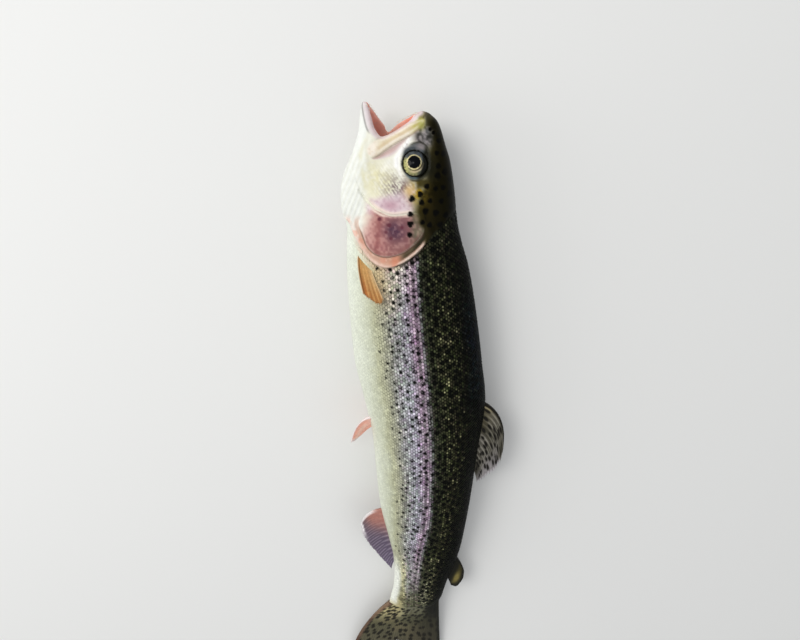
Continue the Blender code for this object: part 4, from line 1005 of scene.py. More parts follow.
# ------------------------------------------------------------ scales
def scale_coat(name, side):
    """Overlapping scales of one flank as two meshes of small closed plates, above and below the lateral line."""
    rng = np.random.default_rng(100 + side)
    shrink = profile((40, 1.0), (150, 1.0), (200, 0.93), (262, 0.80))
    fine_s = np.arange(37.0, 262.0, 0.25)
    count = np.concatenate([[0.0], np.cumsum(0.25 / (SCALE_PITCH * shrink(fine_s)))])[:-1]
    root_s, root_a, row = [], [], []
    for j in range(-46, 46):
        n = np.arange(0, count[-1]) + (0.5 if j % 2 else 0.0)
        s = np.interp(n, count, fine_s)
        s = s + rng.uniform(-0.09, 0.09, len(s))
        a = j * ROW_PITCH * shrink(s) + rng.uniform(-0.06, 0.06, len(s))
        root_s.append(s)
        root_a.append(a)
        row.append(np.full(len(s), j))
    s, a, row = np.concatenate(root_s), np.concatenate(root_a), np.concatenate(row)
    # angle round the body for that distance from the lateral line
    i = np.clip((s - ARC_S[0]).astype(int), 0, len(ARC_S) - 2)
    t = np.clip(s - ARC_S[0] - i, 0, 1)
    ang = np.full(len(s), -1.0)
    for k in np.unique(i):
        m = i == k
        lo = np.interp(-a[m], -ARC[k], ARC_A, left=-9.0, right=-9.0)
        hi = np.interp(-a[m], -ARC[k + 1], ARC_A, left=-9.0, right=-9.0)
        ang[m] = np.where((lo < -1) | (hi < -1), -1.0, lo * (1 - t[m]) + hi * t[m])
    ok = (ang > 0.02) & (ang < pi - 0.02)
    s, a, row, ang = s[ok], a[ok], row[ok], ang[ok]
    x, aw = at_angle(s, ang, 0.35)
    last = 250.5 + 6.5 * (1 - np.clip((x - 7.0) / 14.0, -1, 1) ** 2)
    gap = nape_gap(s, x)
    ok = ((c_ahead(s, x) < -0.75) | (gap > 0.5)) & (s < last) & ((s > 48.0) | (x > -16))
    thin = step(12.5, 15.5, x) * step(4.5, 0.5, gap)
    ok &= rng.random(len(s)) > 0.60 * thin
    s, a, row, ang, x, aw = (v[ok] for v in (s, a, row, ang, x, aw))

    def at(ss, aa):
        xx, ww = at_angle(ss, np.clip(aa, 0.0, pi), 0.35)
        return np.stack([xx - CENTRE_X, CENTRE_S - ss, mid_height(ss) + side * ww], axis=-1)

    p = at(s, ang)
    es = at(s + 0.4, ang) - at(s - 0.4, ang)
    ea = at(s, ang - 0.01) - at(s, ang + 0.01)          # towards the back
    es /= np.linalg.norm(es, axis=1)[:, None]
    ea -= (ea * es).sum(axis=1)[:, None] * es
    ea /= np.linalg.norm(ea, axis=1)[:, None]
    nn = np.cross(es, ea)
    mid = np.stack([widest(s) - CENTRE_X, CENTRE_S - s, mid_height(s)], axis=-1)
    nn *= np.sign(((p - mid) * nn).sum(axis=1))[:, None]
    # one plate: rim of ten, ring of five, crown, keel
    k = np.arange(10) * 2 * pi / 10
    rim = np.stack([0.13 + 1.02 * np.cos(k) - 0.10 * np.cos(2 * k), 0.78 * np.sin(k) * (1 + 0.06 * np.cos(k)), np.zeros(10)], axis=1)
    rim[:, 2] = 0.045 + 0.062 * (rim[:, 0] + 1.0)
    k5 = (np.arange(5) + 0.5) * 2 * pi / 5
    ring = np.stack([0.26 + 0.56 * np.cos(k5), 0.44 * np.sin(k5), np.zeros(5)], axis=1)
    ring[:, 2] = 0.045 + 0.062 * (ring[:, 0] + 1.0) + 0.085
    crown = np.array([[0.26, 0.0, 0.045 + 0.062 * 1.26 + 0.105]])
    keel = np.array([[0.1, 0.0, 0.0]])
    plate = np.concatenate([rim, ring, crown, keel])
    rimness = np.concatenate([np.ones(10), np.full(5, 0.35), [0.0], [1.0]])
    faces = []
    for m in range(10):
        faces.append((m, (m + 1) % 10, 16))              # underside, reversed below
    faces = [(b_, a_, c_) for a_, b_, c_ in faces]
    for m in range(5):
        r0, r1, r2 = 2 * m, 2 * m + 1, (2 * m + 2) % 10
        g0, g1 = 10 + m, 10 + (m + 1) % 5
        faces += [(r0, r1, g0), (r1, r2, g0), (r2, g1, g0), (10 + m, 10 + (m + 1) % 5, 15)]
    faces = np.array(faces)
    n = len(s)
    size = shrink(s) * rng.uniform(0.94, 1.06, n)
    q = flank_measure(s, x)
    lift = np.interp(q, [-22, -18, -14, -9, 4, 30], [0.07, 0.14, 0.4, 0.9, 1.0, 0.9])
    lift = lift * np.interp(s, [232.0, 238.0, 246.0, 257.0], [1.0, 0.8, 0.7, 0.25])
    tilt_a = rng.normal(0.0, 0.055, n)
    tilt_s = rng.normal(0.0, 0.045, n)
    la = plate[None, :, 0] * size[:, None]
    lb = plate[None, :, 1] * size[:, None]
    lz = plate[None, :, 2] + tilt_a[:, None] * plate[None, :, 1] + tilt_s[:, None] * (plate[None, :, 0] - 0.2)
    lz = np.clip(lz, -0.05, 0.31) * lift[:, None]
    # scales bend round sharp edges of the body
    curve = np.clip(1.0 / np.maximum(half(s), 2.0), 0, 0.25)
    lz = lz - 0.5 * curve[:, None] * lb ** 2 * 0.8
    v = (p[:, None, :] + la[..., None] * es[:, None, :] + lb[..., None] * ea[:, None, :] + lz[..., None] * nn[:, None, :])
    # plates lie level where the flank rests
    plane = p[:, None, 2] + la * es[:, None, 2] + lb * ea[:, None, 2]
    sunk = np.maximum(soft_max(plane, FLOOR_CLEAR, 0.5) - plane, 0.0)
    v[..., 2] += sunk - 0.2 * np.clip(sunk / 0.3, 0, 1) * np.minimum(lz * nn[:, None, 2], 0.0)
    v[..., 2] = np.maximum(v[..., 2], 0.04)
    rim_chance = rng.normal(0.0, 0.05, n)
    # colours
    vs = CENTRE_S - v[..., 1]
    vx = v[..., 0] + CENTRE_X
    vw = v[..., 2] - mid_height(vs)
    base = body_colour(s, x, side * aw, with_spots=False)
    tone = rng.normal(0.0, 1.0, n)
    depth = np.interp(q, [-24, -20, -16, -11, 2, 4.5, 9, 30], [0.015, 0.025, 0.05, 0.13, 0.14, 0.22, 0.24, 0.26])
    depth = depth * (1.0 - 0.6 * np.exp(-(np.hypot((s - 64.0) / 1.8, x + 10.0) / 7.5) ** 2))
    base = base * (1.0 + depth * np.clip(tone, -1.8, 1.8))[:, None]
    cast = rng.normal(0.0, 1.0, n)
    amount = np.interp(q, [-14, -8, 4, 8], [0.0, 1.0, 1.0, 0.4])
    base = base + (amount * cast)[:, None] * np.array((2.0, -2.5, 2.5))
    painted_glint = 0.45 + rng.gamma(1.8, 0.34, n)
    col = np.repeat(base[:, None, :], 17, axis=1)
    net = np.interp(q, [-26, -21, -16, -12, -8, 2, 4.5, 8, 20], [0.03, 0.06, 0.09, 0.18, 0.27, 0.30, 0.50, 0.58, 0.64])
    near_fin = step(0.0, 0.6, np.exp(-(np.hypot((s - 64.0) / 1.8, x + 10.0) / 7.5) ** 2))
    net = net * (1.0 - 0.8 * near_fin)
    # painted highlight: the crown of each scale is lightened, scaled by a random painted glint, most strongly in a band
    # high on the back
    hi = np.interp(q, [-19, -15, -10, 2, 4.5, 7.5, 9.5, 15, 19, 30], [0.0, 0.03, 0.16, 0.15, 0.10, 0.14, 0.32, 0.32, 0.2, 0.2]) * np.minimum(painted_glint, 2.2)
    hi *= np.interp(s, [50, 70, 240, 256], [0.8, 1.0, 1.0, 0.7])
    col = col * (1.0 - (net[:, None] * rimness[None, :] ** 1.5) + hi[:, None] * (1 - rimness[None, :]) ** 1.3)[..., None]
    # painted glints: a small bright highlight on the crown of each scale high on the back, weaker near the head
    spark = np.clip(rng.gamma(1.1, 0.62, n), 0.0, 2.6) * np.interp(q, [5.5, 8.5, 10.5, 16.0, 19.0, 30.0], [0.08, 0.30, 1.0, 1.0, 0.45, 0.2])
    spark *= np.interp(s, [40.0, 60.0, 90.0], [0.55, 0.70, 1.0])
    col = col + (spark[:, None] * (1 - rimness[None, :]) ** 3.0)[..., None] * np.array((66.0, 64.0, 50.0))
    line = (row == 0)[:, None] * np.exp(-(plate[None, :, 1] / 0.3) ** 2) * (1 - rimness[None, :] * 0.6)
    col = col * (1 - 0.45 * line[..., None])
    vang = angle_of(vs, vx, np.abs(vw))
    d = spots[side](vs, arc_of(vs, vang))
    d = np.where(c_ahead(s, x)[:, None] > 0, 9.0, d)
    ink = ((0.95 - 0.40 * step(212, 236, s) * step(6.0, 2.0, q)) * (1.0 - 0.85 * step(210, 222, s) * step(-11.5, -14.5, q)))[:, None]
    col = over(col, ink * step(0.25, -0.15, d), (10, 11, 9))
    # each plate is one small patch at its root's place on the flank laid flat
    low_a = np.where(a >= 0.0, 0.0, -52.0)
    uv0 = np.stack([0.02 + 0.96 * (s - 42.0) / 218.0, 0.02 + 0.96 * (a - low_a) / 52.0], axis=1)
    uv = uv0[:, None, :] + np.stack([plate[:, 0] * 0.0013, plate[:, 1] * 0.0017], axis=1)[None]
    for tag, part in (("back", a >= 0.0), ("belly", a < 0.0)):
        fl = (faces[None] + 17 * np.arange(int(part.sum()))[:, None, None]).reshape(-1, 3)
        if side < 0:
            fl = fl[:, ::-1]
        ob = add_mesh(name + "_" + tag, v[part].reshape(-1, 3) * MM, fl)
        # the flat scales of the belly have no rounded rims
        ob.data.polygons.foreach_set("use_smooth", np.repeat(lift[part] + rim_chance[part] > 0.21, len(faces)))
        paint(ob, linear(col[part]).reshape(-1, 3))
        layer = ob.data.uv_layers.new(name="OFBake")
        layer.data.foreach_set("uv", uv[part].reshape(-1, 2)[fl.ravel()].astype(np.float32).ravel())
        ob.data.materials.append(scale_mat)
        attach(ob, "root")
        print(ob.name, int(part.sum()), "scales", len(fl), "triangles")


scale_coat("scales_L", 1)
scale_coat("scales_R", -1)


# ------------------------------------------------------------ eyes
def eye(name, side):
    n, m = 120, 72
    verts, tint = [], []
    th = np.linspace(0, 2 * pi, n, endpoint=False)
    ph = np.linspace(0, pi, m + 1)[1:-1]
    a = np.outer(np.sin(ph), np.cos(th)).ravel()
    b = np.outer(np.sin(ph), np.sin(th)).ravel()
    c = np.outer(np.cos(ph), np.ones(n)).ravel()
    a, b, c = np.append(a, [0, 0]), np.append(b, [0, 0]), np.append(c, [1, -1])
    r = np.hypot(a, b) * EYE_RADIUS
    # a: towards the snout, b: towards the back, c: out of the head
    ridge = 0.10 * np.clip(1.0 - (r / 4.6) ** 2, 0.0, 1.0) ** 2
    out = c * (EYE_DEPTH - 0.02) + np.where(c > 0, ridge, 0.0)
    along = a * (EYE_RADIUS - 0.02)
    up = b * (EYE_RADIUS - 0.02)
    s = EYE_S - (along * cos(EYE_TILT) + out * sin(EYE_TILT))
    w = EYE_W + out * cos(EYE_TILT) - along * sin(EYE_TILT)
    v = world(s, EYE_X + up, side * w)
    faces = []
    k = len(ph)
    for i in range(k - 1):
        for j in range(n):
            p, q = i * n + j, i * n + (j + 1) % n
            faces += [(p, p + n, q + n), (p, q + n, q)]
    for j in range(n):
        faces.append((k * n, j, (j + 1) % n))
        faces.append((k * n + 1, (k - 1) * n + (j + 1) % n, (k - 1) * n + j))
    faces = np.array(faces)
    if side > 0:
        faces = faces[:, ::-1]
    ob = add_mesh(name, v, faces)
    ang = np.arctan2(up, along)                        # 0 to the snout, + to the back
    pr = np.hypot(along - 0.25, up + 0.05) * (1.0 - 0.10 * np.cos(ang))
    col = np.zeros((len(v), 3)) + np.array((152.0, 148.0, 104.0))
    fleck = noise(along * 1.0, up, 0 * up, 0.55, 8.0)
    cloud = noise(along, up, 0 * up, 1.3, 9.0)
    lean = along + 0.5 * (cloud - 0.5)
    col = over(col, 0.85 * step(-1.2, -3.0, up) * step(-3.0, -1.0, lean + 1.4), (198, 194, 128))
    col = over(col, 0.95 * step(-0.6, 1.2, up + 0.25 * along), (74, 78, 66))
    col = over(col, 0.92 * step(0.7, 2.2, lean + 0.25 * up), (88, 94, 100))
    col = over(col, 0.8 * step(2.4, 3.4, lean) * step(-1.5, 1.0, up), (66, 72, 80))
    col = over(col, 0.6 * bump(np.hypot(along - 3.1, (up + 2.0)), 0.9), (40, 42, 46))
    col = over(col, 0.5 * step(0.50, 0.75, fleck) * step(4.2, 2.8, r), (126, 122, 88))
    col = over(col, 0.45 * step(0.45, 0.25, fleck), (52, 54, 48))
    col = over(col, 0.9 * bump(pr - 3.85, 0.34) * step(1.2, -0.2, along) * step(-2.6, -0.6, up), (216, 198, 162))
    col = over(col, 0.75 * bump(pr - 3.2, 0.22) * step(1.0, -0.4, along) * step(-2.0, 0.0, up), (84, 66, 48))
    col = over(col, 0.96 * step(2.9, 4.1, up + 0.10 * along - 0.35 * np.minimum(along, 0.0)), (15, 16, 12))
    col = over(col, 0.9 * step(4.42, 4.72, r) * step(2.6, 1.0, along), (22, 22, 18))
    col = over(col, step(2.98, 2.84, pr) * np.where(up + 0.4 * along > 1.4, 0.7, 1.0), (232, 220, 170))
    col = over(col, 0.5 * step(2.98, 2.84, pr) * step(0.45, 0.7, fleck), (178, 160, 108))
    col = over(col, step(2.56, 2.44, pr), (4, 5, 9))
    paint(ob, linear(col))
    ob.data.materials.append(eye_mat)
    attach(ob, "root")
    return ob


eye_left = eye("eyeball_L", 1)
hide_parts("eye_L")
eye_right = eye("eyeball_R", -1)
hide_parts("eye_R")


# ------------------------------------------------------------ fins
def mix(a, b, u):
    return tuple(p + (q - p) * u for p, q in zip(a, b))


def along_curve(*knots):
    s = profile(*[(k[0], k[1]) for k in knots])
    x = profile(*[(k[0], k[2]) for k in knots])
    w = profile(*[(k[0], k[3]) for k in knots])
    return lambda u: (s(u), x(u), w(u))


def fin(name, node, base, bend, tip, root_half, rays, colour, tip_half=0.16, taper=0.45, jag=0.04, ray_height=0.16,
        ripple=0.10, rows=44, per_ray=8, seed=1, split=0.45):
    """A fin: rays that branch, with a thin web between them and a frayed margin."""
    rng = np.random.default_rng(seed)
    cols = max(rays, 4) * per_ray
    u = np.linspace(0, 1, cols + 1)[:, None]
    v0 = np.linspace(0, 1, rows + 1)[None, :]
    phase = rays * u
    ridge1 = (0.5 + 0.5 * np.cos(2 * pi * phase)) ** 2.2 if rays else 0.0 * u
    ridge2 = (0.5 + 0.5 * np.cos(4 * pi * phase)) ** 2.0 if rays else 0.0 * u
    if rays:
        per = rng.uniform(-1, 1, rays + 2)
        fray = np.interp(phase.ravel() + 0.5, np.arange(rays + 2), per)[:, None]
        reach = 1.0 - jag * (1.0 - np.maximum(ridge1, 0.8 * ridge2)) - 0.35 * jag * (1 + fray)
    else:
        reach = 1.0 + 0.0 * u
    reach = np.where((u < 0.5 / max(rays, 1)), 1.0 - 0.3 * jag, reach)
    v = v0 * reach
    p, q, r = base(u), bend(u), tip(u)
    k0, k1, k2 = (1 - v) ** 2, 2 * v * (1 - v), v * v
    pts = [k0 * a_ + k1 * b_ + k2 * c_ for a_, b_, c_ in zip(p, q, r)]
    centre = world(*pts) / MM
    du = np.gradient(centre, axis=0)
    dv = np.gradient(centre, axis=1)
    normal = np.cross(du, dv)
    normal /= np.maximum(np.linalg.norm(normal, axis=2), 1e-9)[..., None]
    mixed = ridge1 * (1 - step(split - 0.12, split + 0.12, v)) + ridge2 * step(split - 0.12, split + 0.12, v)
    joints = 1.0 + 0.12 * np.sin(v * rows * 1.9 + 3.0 * ridge1)
    thick = (tip_half * (1 - 0.35 * v) + (root_half - tip_half) * np.maximum(0.0, 1.0 - v / taper) ** 1.4
             + ray_height * mixed * joints * (1 - 0.62 * v) * step(0.0, 0.12, v + 0.05))
    thick = np.where(v0 > 0.999, np.minimum(thick, 0.07), thick)
    wave = ripple * np.sin(2 * pi * phase + 0.6) * step(0.05, 0.5, v) if rays else 0.0 * v
    upper = centre + normal * (thick + wave)[..., None]
    lower = centre + normal * (wave - thick)[..., None]
    n = rows + 1
    count = (cols + 1) * n
    i, j = np.meshgrid(np.arange(cols), np.arange(rows), indexing="ij")
    a_ = (i * n + j).ravel()
    quad = np.stack([a_, a_ + n, a_ + n + 1, a_ + 1], axis=1)
    faces = [quad, quad[:, ::-1] + count]
    rim = ([c * n for c in range(cols + 1)] + [cols * n + k for k in range(1, n)]
           + [c * n + rows for c in range(cols - 1, -1, -1)] + [k for k in range(rows - 1, 0, -1)])
    rim = np.array(rim)
    nxt = np.roll(rim, -1)
    faces.append(np.stack([nxt, rim, rim + count, nxt + count], axis=1))
    verts = np.concatenate([upper.reshape(-1, 3), lower.reshape(-1, 3)])
    verts[:, 2] = np.maximum(verts[:, 2], 0.03)
    faces = np.concatenate(faces)
    ob = add_mesh(name, verts * MM, faces)
    uu = np.broadcast_to(u, v.shape)
    vv = np.broadcast_to(v0, v.shape)
    col = colour(uu, vv, np.broadcast_to(ridge1, v.shape), np.broadcast_to(mixed, v.shape), pts[0] + 0 * v, pts[1] + 0 * v)
    col = col.reshape(-1, 3)
    paint(ob, linear(np.concatenate([col, col])))
    ob.data.materials.append(fin_mat)
    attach(ob, "root")
    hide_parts(node)
    return ob


def flat(shape, rgb):
    return np.zeros(shape + (3,)) + np.array(rgb, dtype=float)


def dorsal_colour(u, v, ray, web, s, x):
    rng = np.random.default_rng(31)
    col = flat(u.shape, (66, 63, 52))
    cloud = noise(u * 7.0, v * 2.2, 0.0 * u, 1.0, 5.0)
    col = over(col, 0.75 * step(0.2, 0.8, web) * step(0.2, 0.6, cloud), (150, 146, 132))
    col = over(col, 0.8 * step(0.50, 0.1, v + 0.5 * u), (88, 80, 52))
    col = over(col, 0.35 * step(0.40, 0.75, cloud), (176, 170, 164))
    col = over(col, 0.6 * step(0.45, 0.9, v) * step(0.15, 0.5, u), (172, 166, 174))
    d = np.full(u.shape, 9.0)
    for k in range(13):
        for m in range(4):
            uu = (k + 1.0 + rng.uniform(-0.30, 0.30)) / 14.0
            vv = 0.20 + 0.22 * m + 0.11 * (k % 2) + rng.uniform(-0.06, 0.06)
            if rng.random() < 0.36 or vv > 0.95:
                continue
            d = np.minimum(d, np.hypot((u - uu) / rng.uniform(0.019, 0.030), (v - vv) / rng.uniform(0.045, 0.080)) - 1.0)
    col = over(col, 0.92 * step(0.35, -0.25, d), (20, 18, 14))
    col = over(col, 0.80 * step(0.94, 0.99, v) * step(0.1, 0.3, u), (214, 208, 214))
    col = over(col, 0.92 * step(0.055, 0.035, u), (24, 22, 16))
    col = over(col, 0.8 * bump(u - 0.055, 0.012) * step(0.30, 0.15, v), (206, 192, 150))
    return col


def anal_colour(u, v, ray, web, s, x):
    col = flat(u.shape, (108, 98, 116))
    col = over(col, 0.6 * step(0.35, 0.0, v), (172, 150, 152))
    col = over(col, 0.5 * step(0.4, 1.0, u), (118, 112, 142))
    col = over(col, 0.45 * step(0.4, 0.9, web), (168, 152, 162))
    col = over(col, 0.45 * step(0.4, 0.1, web), (74, 60, 74))
    col = over(col, 0.85 * step(0.55, 0.08, u + 0.12 * (v - 0.5)) * step(1.15, 0.5, v + 0.6 * u), (184, 124, 108))
    col = over(col, 0.4 * step(0.5, 0.1, u) * step(0.5, 0.9, v), (104, 92, 96))
    edge = np.maximum(step(0.060, 0.015, u) * step(0.15, 0.5, v), step(0.84, 0.94, v) * step(0.46, 0.16, u))
    col = over(col, 0.95 * edge, (246, 242, 242))
    col = over(col, 0.5 * step(0.95, 1.0, v), (176, 168, 176))
    return col


def caudal_colour(u, v, ray, web, s, x):
    rng = np.random.default_rng(44)
    col = flat(u.shape, (86, 85, 62))
    col = over(col, 0.45 * step(0.2, 0.8, web), (116, 113, 86))
    col = over(col, 0.5 * step(0.40, 0.75, noise(u * 6.0, v * 4.0, 0.0 * u, 1.0, 6.0)), (122, 112, 80))
    col = over(col, 0.85 * step(0.45, 0.92, u), (38, 37, 25))
    near = trunk_colour(s, x, 0.0 * s + 1.5)
    k = (0.85 * step(0.58, 0.20, v + 0.10 * (noise(u * 8.0, v * 6.0, 0.0 * u, 1.0, 8.0) - 0.5)))[..., None]
    col = col * (1 - k) + near * k
    col = over(col, 0.60 * step(0.40, 0.10, v + 0.6 * u), (196, 184, 134))
    col = over(col, 0.35 * step(0.3, 0.9, v), (84, 76, 66))
    d = np.full(u.shape, 9.0)
    for k in range(13):
        for m in range(14):
            vv = 0.01 + 0.072 * m + 0.036 * (k % 2) + rng.uniform(-0.027, 0.027)
            wide = 26.4 + (50.0 - 26.4) * min(1.0, vv)
            uu = (k + 0.5) / 13.0 + rng.uniform(-0.030, 0.030)
            if rng.random() < 0.14 or vv > 0.97:
                continue
            r = rng.uniform(0.62, 1.12)
            d = np.minimum(d, np.hypot((u - uu) * wide, (v - vv) * 38.0 / 1.15) - r)
    col = over(col, 0.88 * step(0.50, -0.25, d), (24, 22, 15))
    col = over(col, 0.75 * step(0.075, 0.02, u), (112, 84, 70))
    col = over(col, 0.85 * step(0.95, 0.985, u), (28, 28, 22))
    col = over(col, 0.6 * step(0.95, 1.0, v), (44, 40, 34))
    return col


def pectoral_colour(u, v, ray, web, s, x):
    col = flat(u.shape, (196, 150, 92))
    col = over(col, 0.75 * step(0.34, 0.02, v), (158, 138, 86))
    col = over(col, 0.75 * step(0.55, 0.95, v), (172, 112, 60))
    col = over(col, 0.35 * step(0.5, 0.95, web), (226, 184, 124))
    col = over(col, 0.28 * step(0.35, 0.05, web), (148, 98, 50))
    col = over(col, 0.6 * step(0.35, 0.75, noise(u * 3.0, v * 1.6, 0.0 * u, 1.0, 4.0)), (224, 160, 92))
    col = over(col, 0.65 * step(0.55, 0.10, u) * step(0.35, 0.9, v), (180, 98, 44))
    streak = noise(u * 9.0, v * 1.3, 0.0 * u, 1.0, 3.0)
    col = over(col, 0.5 * step(0.45, 0.75, streak), (226, 180, 116))
    col = over(col, 0.30 * step(0.45, 0.20, streak), (148, 98, 50))
    col = over(col, 0.70 * step(0.55, 0.9, u) * step(0.9, 0.4, v), (210, 182, 136))
    col = over(col, 0.85 * bump(u - 0.085, 0.045), (112, 78, 44))
    col = over(col, 0.9 * step(0.045, 0.012, u), (228, 208, 180))
    col = over(col, 0.75 * step(0.86, 0.98, u), (208, 180, 140))
    col = over(col, 0.5 * step(0.95, 1.0, v), (140, 96, 60))
    return col


def pelvic_colour(u, v, ray, web, s, x):
    col = flat(u.shape, (250, 176, 154))
    col = over(col, 0.7 * bump(u - 0.5, 0.22) * step(0.1, 0.35, v), (254, 222, 206))
    col = over(col, 0.6 * step(0.30, 0.0, v), (238, 208, 198))
    col = over(col, 0.45 * step(0.3, 0.8, web), (250, 206, 192))
    col = over(col, 0.9 * np.maximum(step(0.075, 0.02, u), step(0.90, 0.98, v)), (240, 228, 228))
    col = over(col, 0.5 * step(0.93, 0.98, u), (226, 190, 180))
    return col


def adipose_colour(u, v, ray, web, s, x):
    col = flat(u.shape, (50, 46, 24))
    col = over(col, 0.9 * step(0.62, 0.40, v + 0.25 * (0.5 - u)), (18, 18, 11))
    col = over(col, 0.95 * np.maximum(step(0.68, 0.84, v), np.maximum(step(0.10, 0.03, u), 0.7 * step(0.92, 0.98, u))), (20, 20, 15))
    col = over(col, 0.85 * np.clip(1.3 * bump(np.hypot((u - 0.60) / 1.5, (v - 0.66)), 0.17), 0, 1), (138, 124, 70))
    return col


fin("dorsal", "dorsal_fin", lambda u: (129.5 + 34.5 * u, back(129.5 + 34.5 * u) - 2.0, 0.0 * u),
    lambda u: mix((135.5, 52.0, 0.0), (169.0, 37.2, 0.0), u),
    along_curve((0, 157.5, 49.4, -0.5), (0.2, 163.6, 49.0, -1.0), (0.45, 168.4, 46.6, -1.2),
                (0.75, 172.6, 41.8, -1.0), (1, 175.0, 37.9, -0.4)), 1.0, 13, dorsal_colour, jag=0.07, ripple=0.16, seed=2)
fin("adipose", "adipose_fin", lambda u: (221.0 + 14.0 * u, back(221.0 + 14.0 * u) - 1.5, 0.0 * u),
    lambda u: mix((227.0, 33.0, 0.0), (239.6, 26.6, 0.0), u),
    along_curve((0, 232.9, 34.1, 0), (0.3, 237.0, 33.9, 0), (0.6, 241.2, 32.1, 0),
                (0.85, 243.6, 29.9, 0), (1, 242.6, 27.4, 0)), 0.9, 0, adipose_colour, tip_half=0.34, taper=1.0, ripple=0.0)
fin("anal", "anal_fin", lambda u: (190.5 + 32.0 * u, belly(190.5 + 32.0 * u) + 2.0, 0.0 * u),
    lambda u: mix((190.4, -17.4, 0.0), (226.5, -4.2, 0.0), u),
    along_curve((0, 201.2, -20.2, -0.4), (0.18, 205.8, -19.8, -0.8), (0.4, 212.2, -17.4, -0.8),
                (0.7, 221.6, -11.4, -0.5), (1, 231.2, -4.5, -0.2)), 1.0, 12, anal_colour, seed=3)
fin("caudal", "caudal_fin", lambda u: (255.0 - 6.0 * u + 4.0 * np.sin(pi * u), -5.4 + 26.4 * u, 0.0 * u),
    lambda u: (269.0 - 1.0 * u, -20.5 + 41.9 * u, 0.0 * u),
    along_curve((0, 294.5, -27.6, 0.0), (0.12, 294.2, -22.5, 0.0), (0.3, 291.0, -12.5, 0.0),
                (0.5, 288.2, -1.5, 0.0), (0.68, 290.4, 7.5, 0.0), (0.88, 295.4, 17.2, 0.0),
                (1, 297.0, 23.2, 0.0)), 1.45, 19, caudal_colour, taper=0.5, jag=0.025, ripple=0.08, rows=64, seed=4, split=0.4)
PECTORAL = {1: (((57.6, -17.6, 9.6), (62.2, -12.4, 12.6)), ((62.5, -17.8, 15.5), (67.0, -10.0, 16.8)),
                ((0, 71.8, -15.0, 19.6), (0.3, 74.4, -12.2, 20.4), (0.7, 76.6, -8.4, 20.0), (1, 75.2, -6.4, 18.8)), 0.85),
            -1: (((57.6, -17.6, -9.6), (62.2, -12.4, -12.6)), ((64.0, -18.6, -12.6), (69.0, -12.0, -14.9)),
                 ((0, 77.0, -17.2, -13.4), (0.3, 81.0, -14.8, -14.6), (0.7, 82.5, -12.0, -15.6), (1, 79.5, -10.4, -15.9)), 0.65)}
PELVIC = {1: (((135.0, -13.6, 5.4), (140.8, -12.6, 2.0)), ((137.0, -21.2, 6.2), (143.4, -15.2, 1.0)),
              ((0, 149.4, -23.0, 4.4), (0.35, 149.6, -21.8, 3.0), (0.75, 148.8, -20.3, 1.4), (1, 147.2, -18.7, 0.8)), 0.75),
          -1: (((135.4, -13.6, -5.4), (140.6, -12.8, -2.0)), ((142.0, -13.6, -10.4), (145.5, -14.0, -5.4)),
               ((0, 151.0, -10.8, -12.4), (0.4, 153.4, -10.6, -11.2), (0.8, 152.0, -11.6, -8.4), (1, 149.0, -12.4, -6.4)), 0.65)}
for side, tag in ((1, "L"), (-1, "R")):
    b, m, t, r = PECTORAL[side]
    fin("pectoral_" + tag, "pectoral_fin_" + tag, lambda u: mix(b[0], b[1], u), lambda u: mix(m[0], m[1], u),
        along_curve(*t), r, 11, pectoral_colour, jag=0.05, ripple=0.05, ray_height=0.12, rows=36, per_ray=7, seed=6)
    b, m, t, r = PELVIC[side]
    fin("pelvic_" + tag, "pelvic_fin_" + tag, lambda u: mix(b[0], b[1], u), lambda u: mix(m[0], m[1], u),
        along_curve(*t), r, 9, pelvic_colour, jag=0.04, ripple=0.05, ray_height=0.10, rows=30, per_ray=7, seed=7)


# ------------------------------------------------------------ tongue and teeth
def tongue():
    n = 36
    st = np.linspace(-0.4, 26.0, 60)
    t = (st + 0.4) / 26.4
    width = 3.1 * np.minimum(1.0, 0.3 + 2.4 * t) * np.minimum(1.0, 0.35 + 4.0 * (1 - t))
    width = np.minimum(width, 0.52 * mouth_half(st))
    low = mouth_low(st) + 0.75
    top = low + 1.5 + 0.9 * np.minimum(1.0, 3 * t) * np.minimum(1.0, 3 * (1 - t))
    k = np.arange(n) * 2 * pi / n
    c, d = np.cos(k)[None, :], np.sin(k)[None, :]
    level = (low + 1.0)[:, None]
    round_end = np.sqrt(np.clip(1 - (1 - np.clip(t / 0.06, 0, 1)) ** 2, 0.05, 1))[:, None]
    reach = np.where(c > 0, top[:, None] - level, level - low[:, None]) * 0.97 * round_end
    x = level + np.sign(c) * np.abs(c) ** 0.95 * reach
    w = np.sign(d) * np.abs(d) ** 0.95 * width[:, None] * 0.97 * round_end
    x = x - 0.35 * np.exp(-(w / 0.7) ** 2) * (c > 0) * step(2, 5, st)[:, None]
    s = np.broadcast_to(st[:, None], x.shape)
    v = world(s, x, w).reshape(-1, 3)
    i, j = np.meshgrid(np.arange(len(st) - 1), np.arange(n), indexing="ij")
    a_ = (i * n + j).ravel()
    b_ = (i * n + (j + 1) % n).ravel()
    faces = np.concatenate([np.stack([a_, b_, b_ + n], axis=1), np.stack([a_, b_ + n, a_ + n], axis=1)])
    v = np.concatenate([v, world(st[:1], level[0, :1], np.zeros(1)), world(st[-1:], level[-1, :1], np.zeros(1))])
    m = len(st) * n
    jj = np.arange(n)
    faces = np.concatenate([faces, np.stack([jj * 0 + m, (jj + 1) % n, jj], axis=1),
                            np.stack([jj * 0 + m + 1, (len(st) - 1) * n + jj, (len(st) - 1) * n + (jj + 1) % n], axis=1)])
    ob = add_mesh("tongue_flesh", v, faces)
    ss = np.concatenate([s.ravel(), st[:1], st[-1:]])
    ww = np.concatenate([w.ravel(), [0, 0]])
    col = flat(ss.shape, (216, 158, 146))
    col = over(col, 0.6 * step(0.5, 0.75, noise(ss, ww, ww * 0, 0.8, 5.0)), (232, 190, 180))
    col = over(col, 0.6 * step(10, 22, ss), (170, 96, 84))
    paint(ob, linear(col))
    ob.data.materials.append(mouth_mat)
    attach(ob, "root")
    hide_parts("tongue")


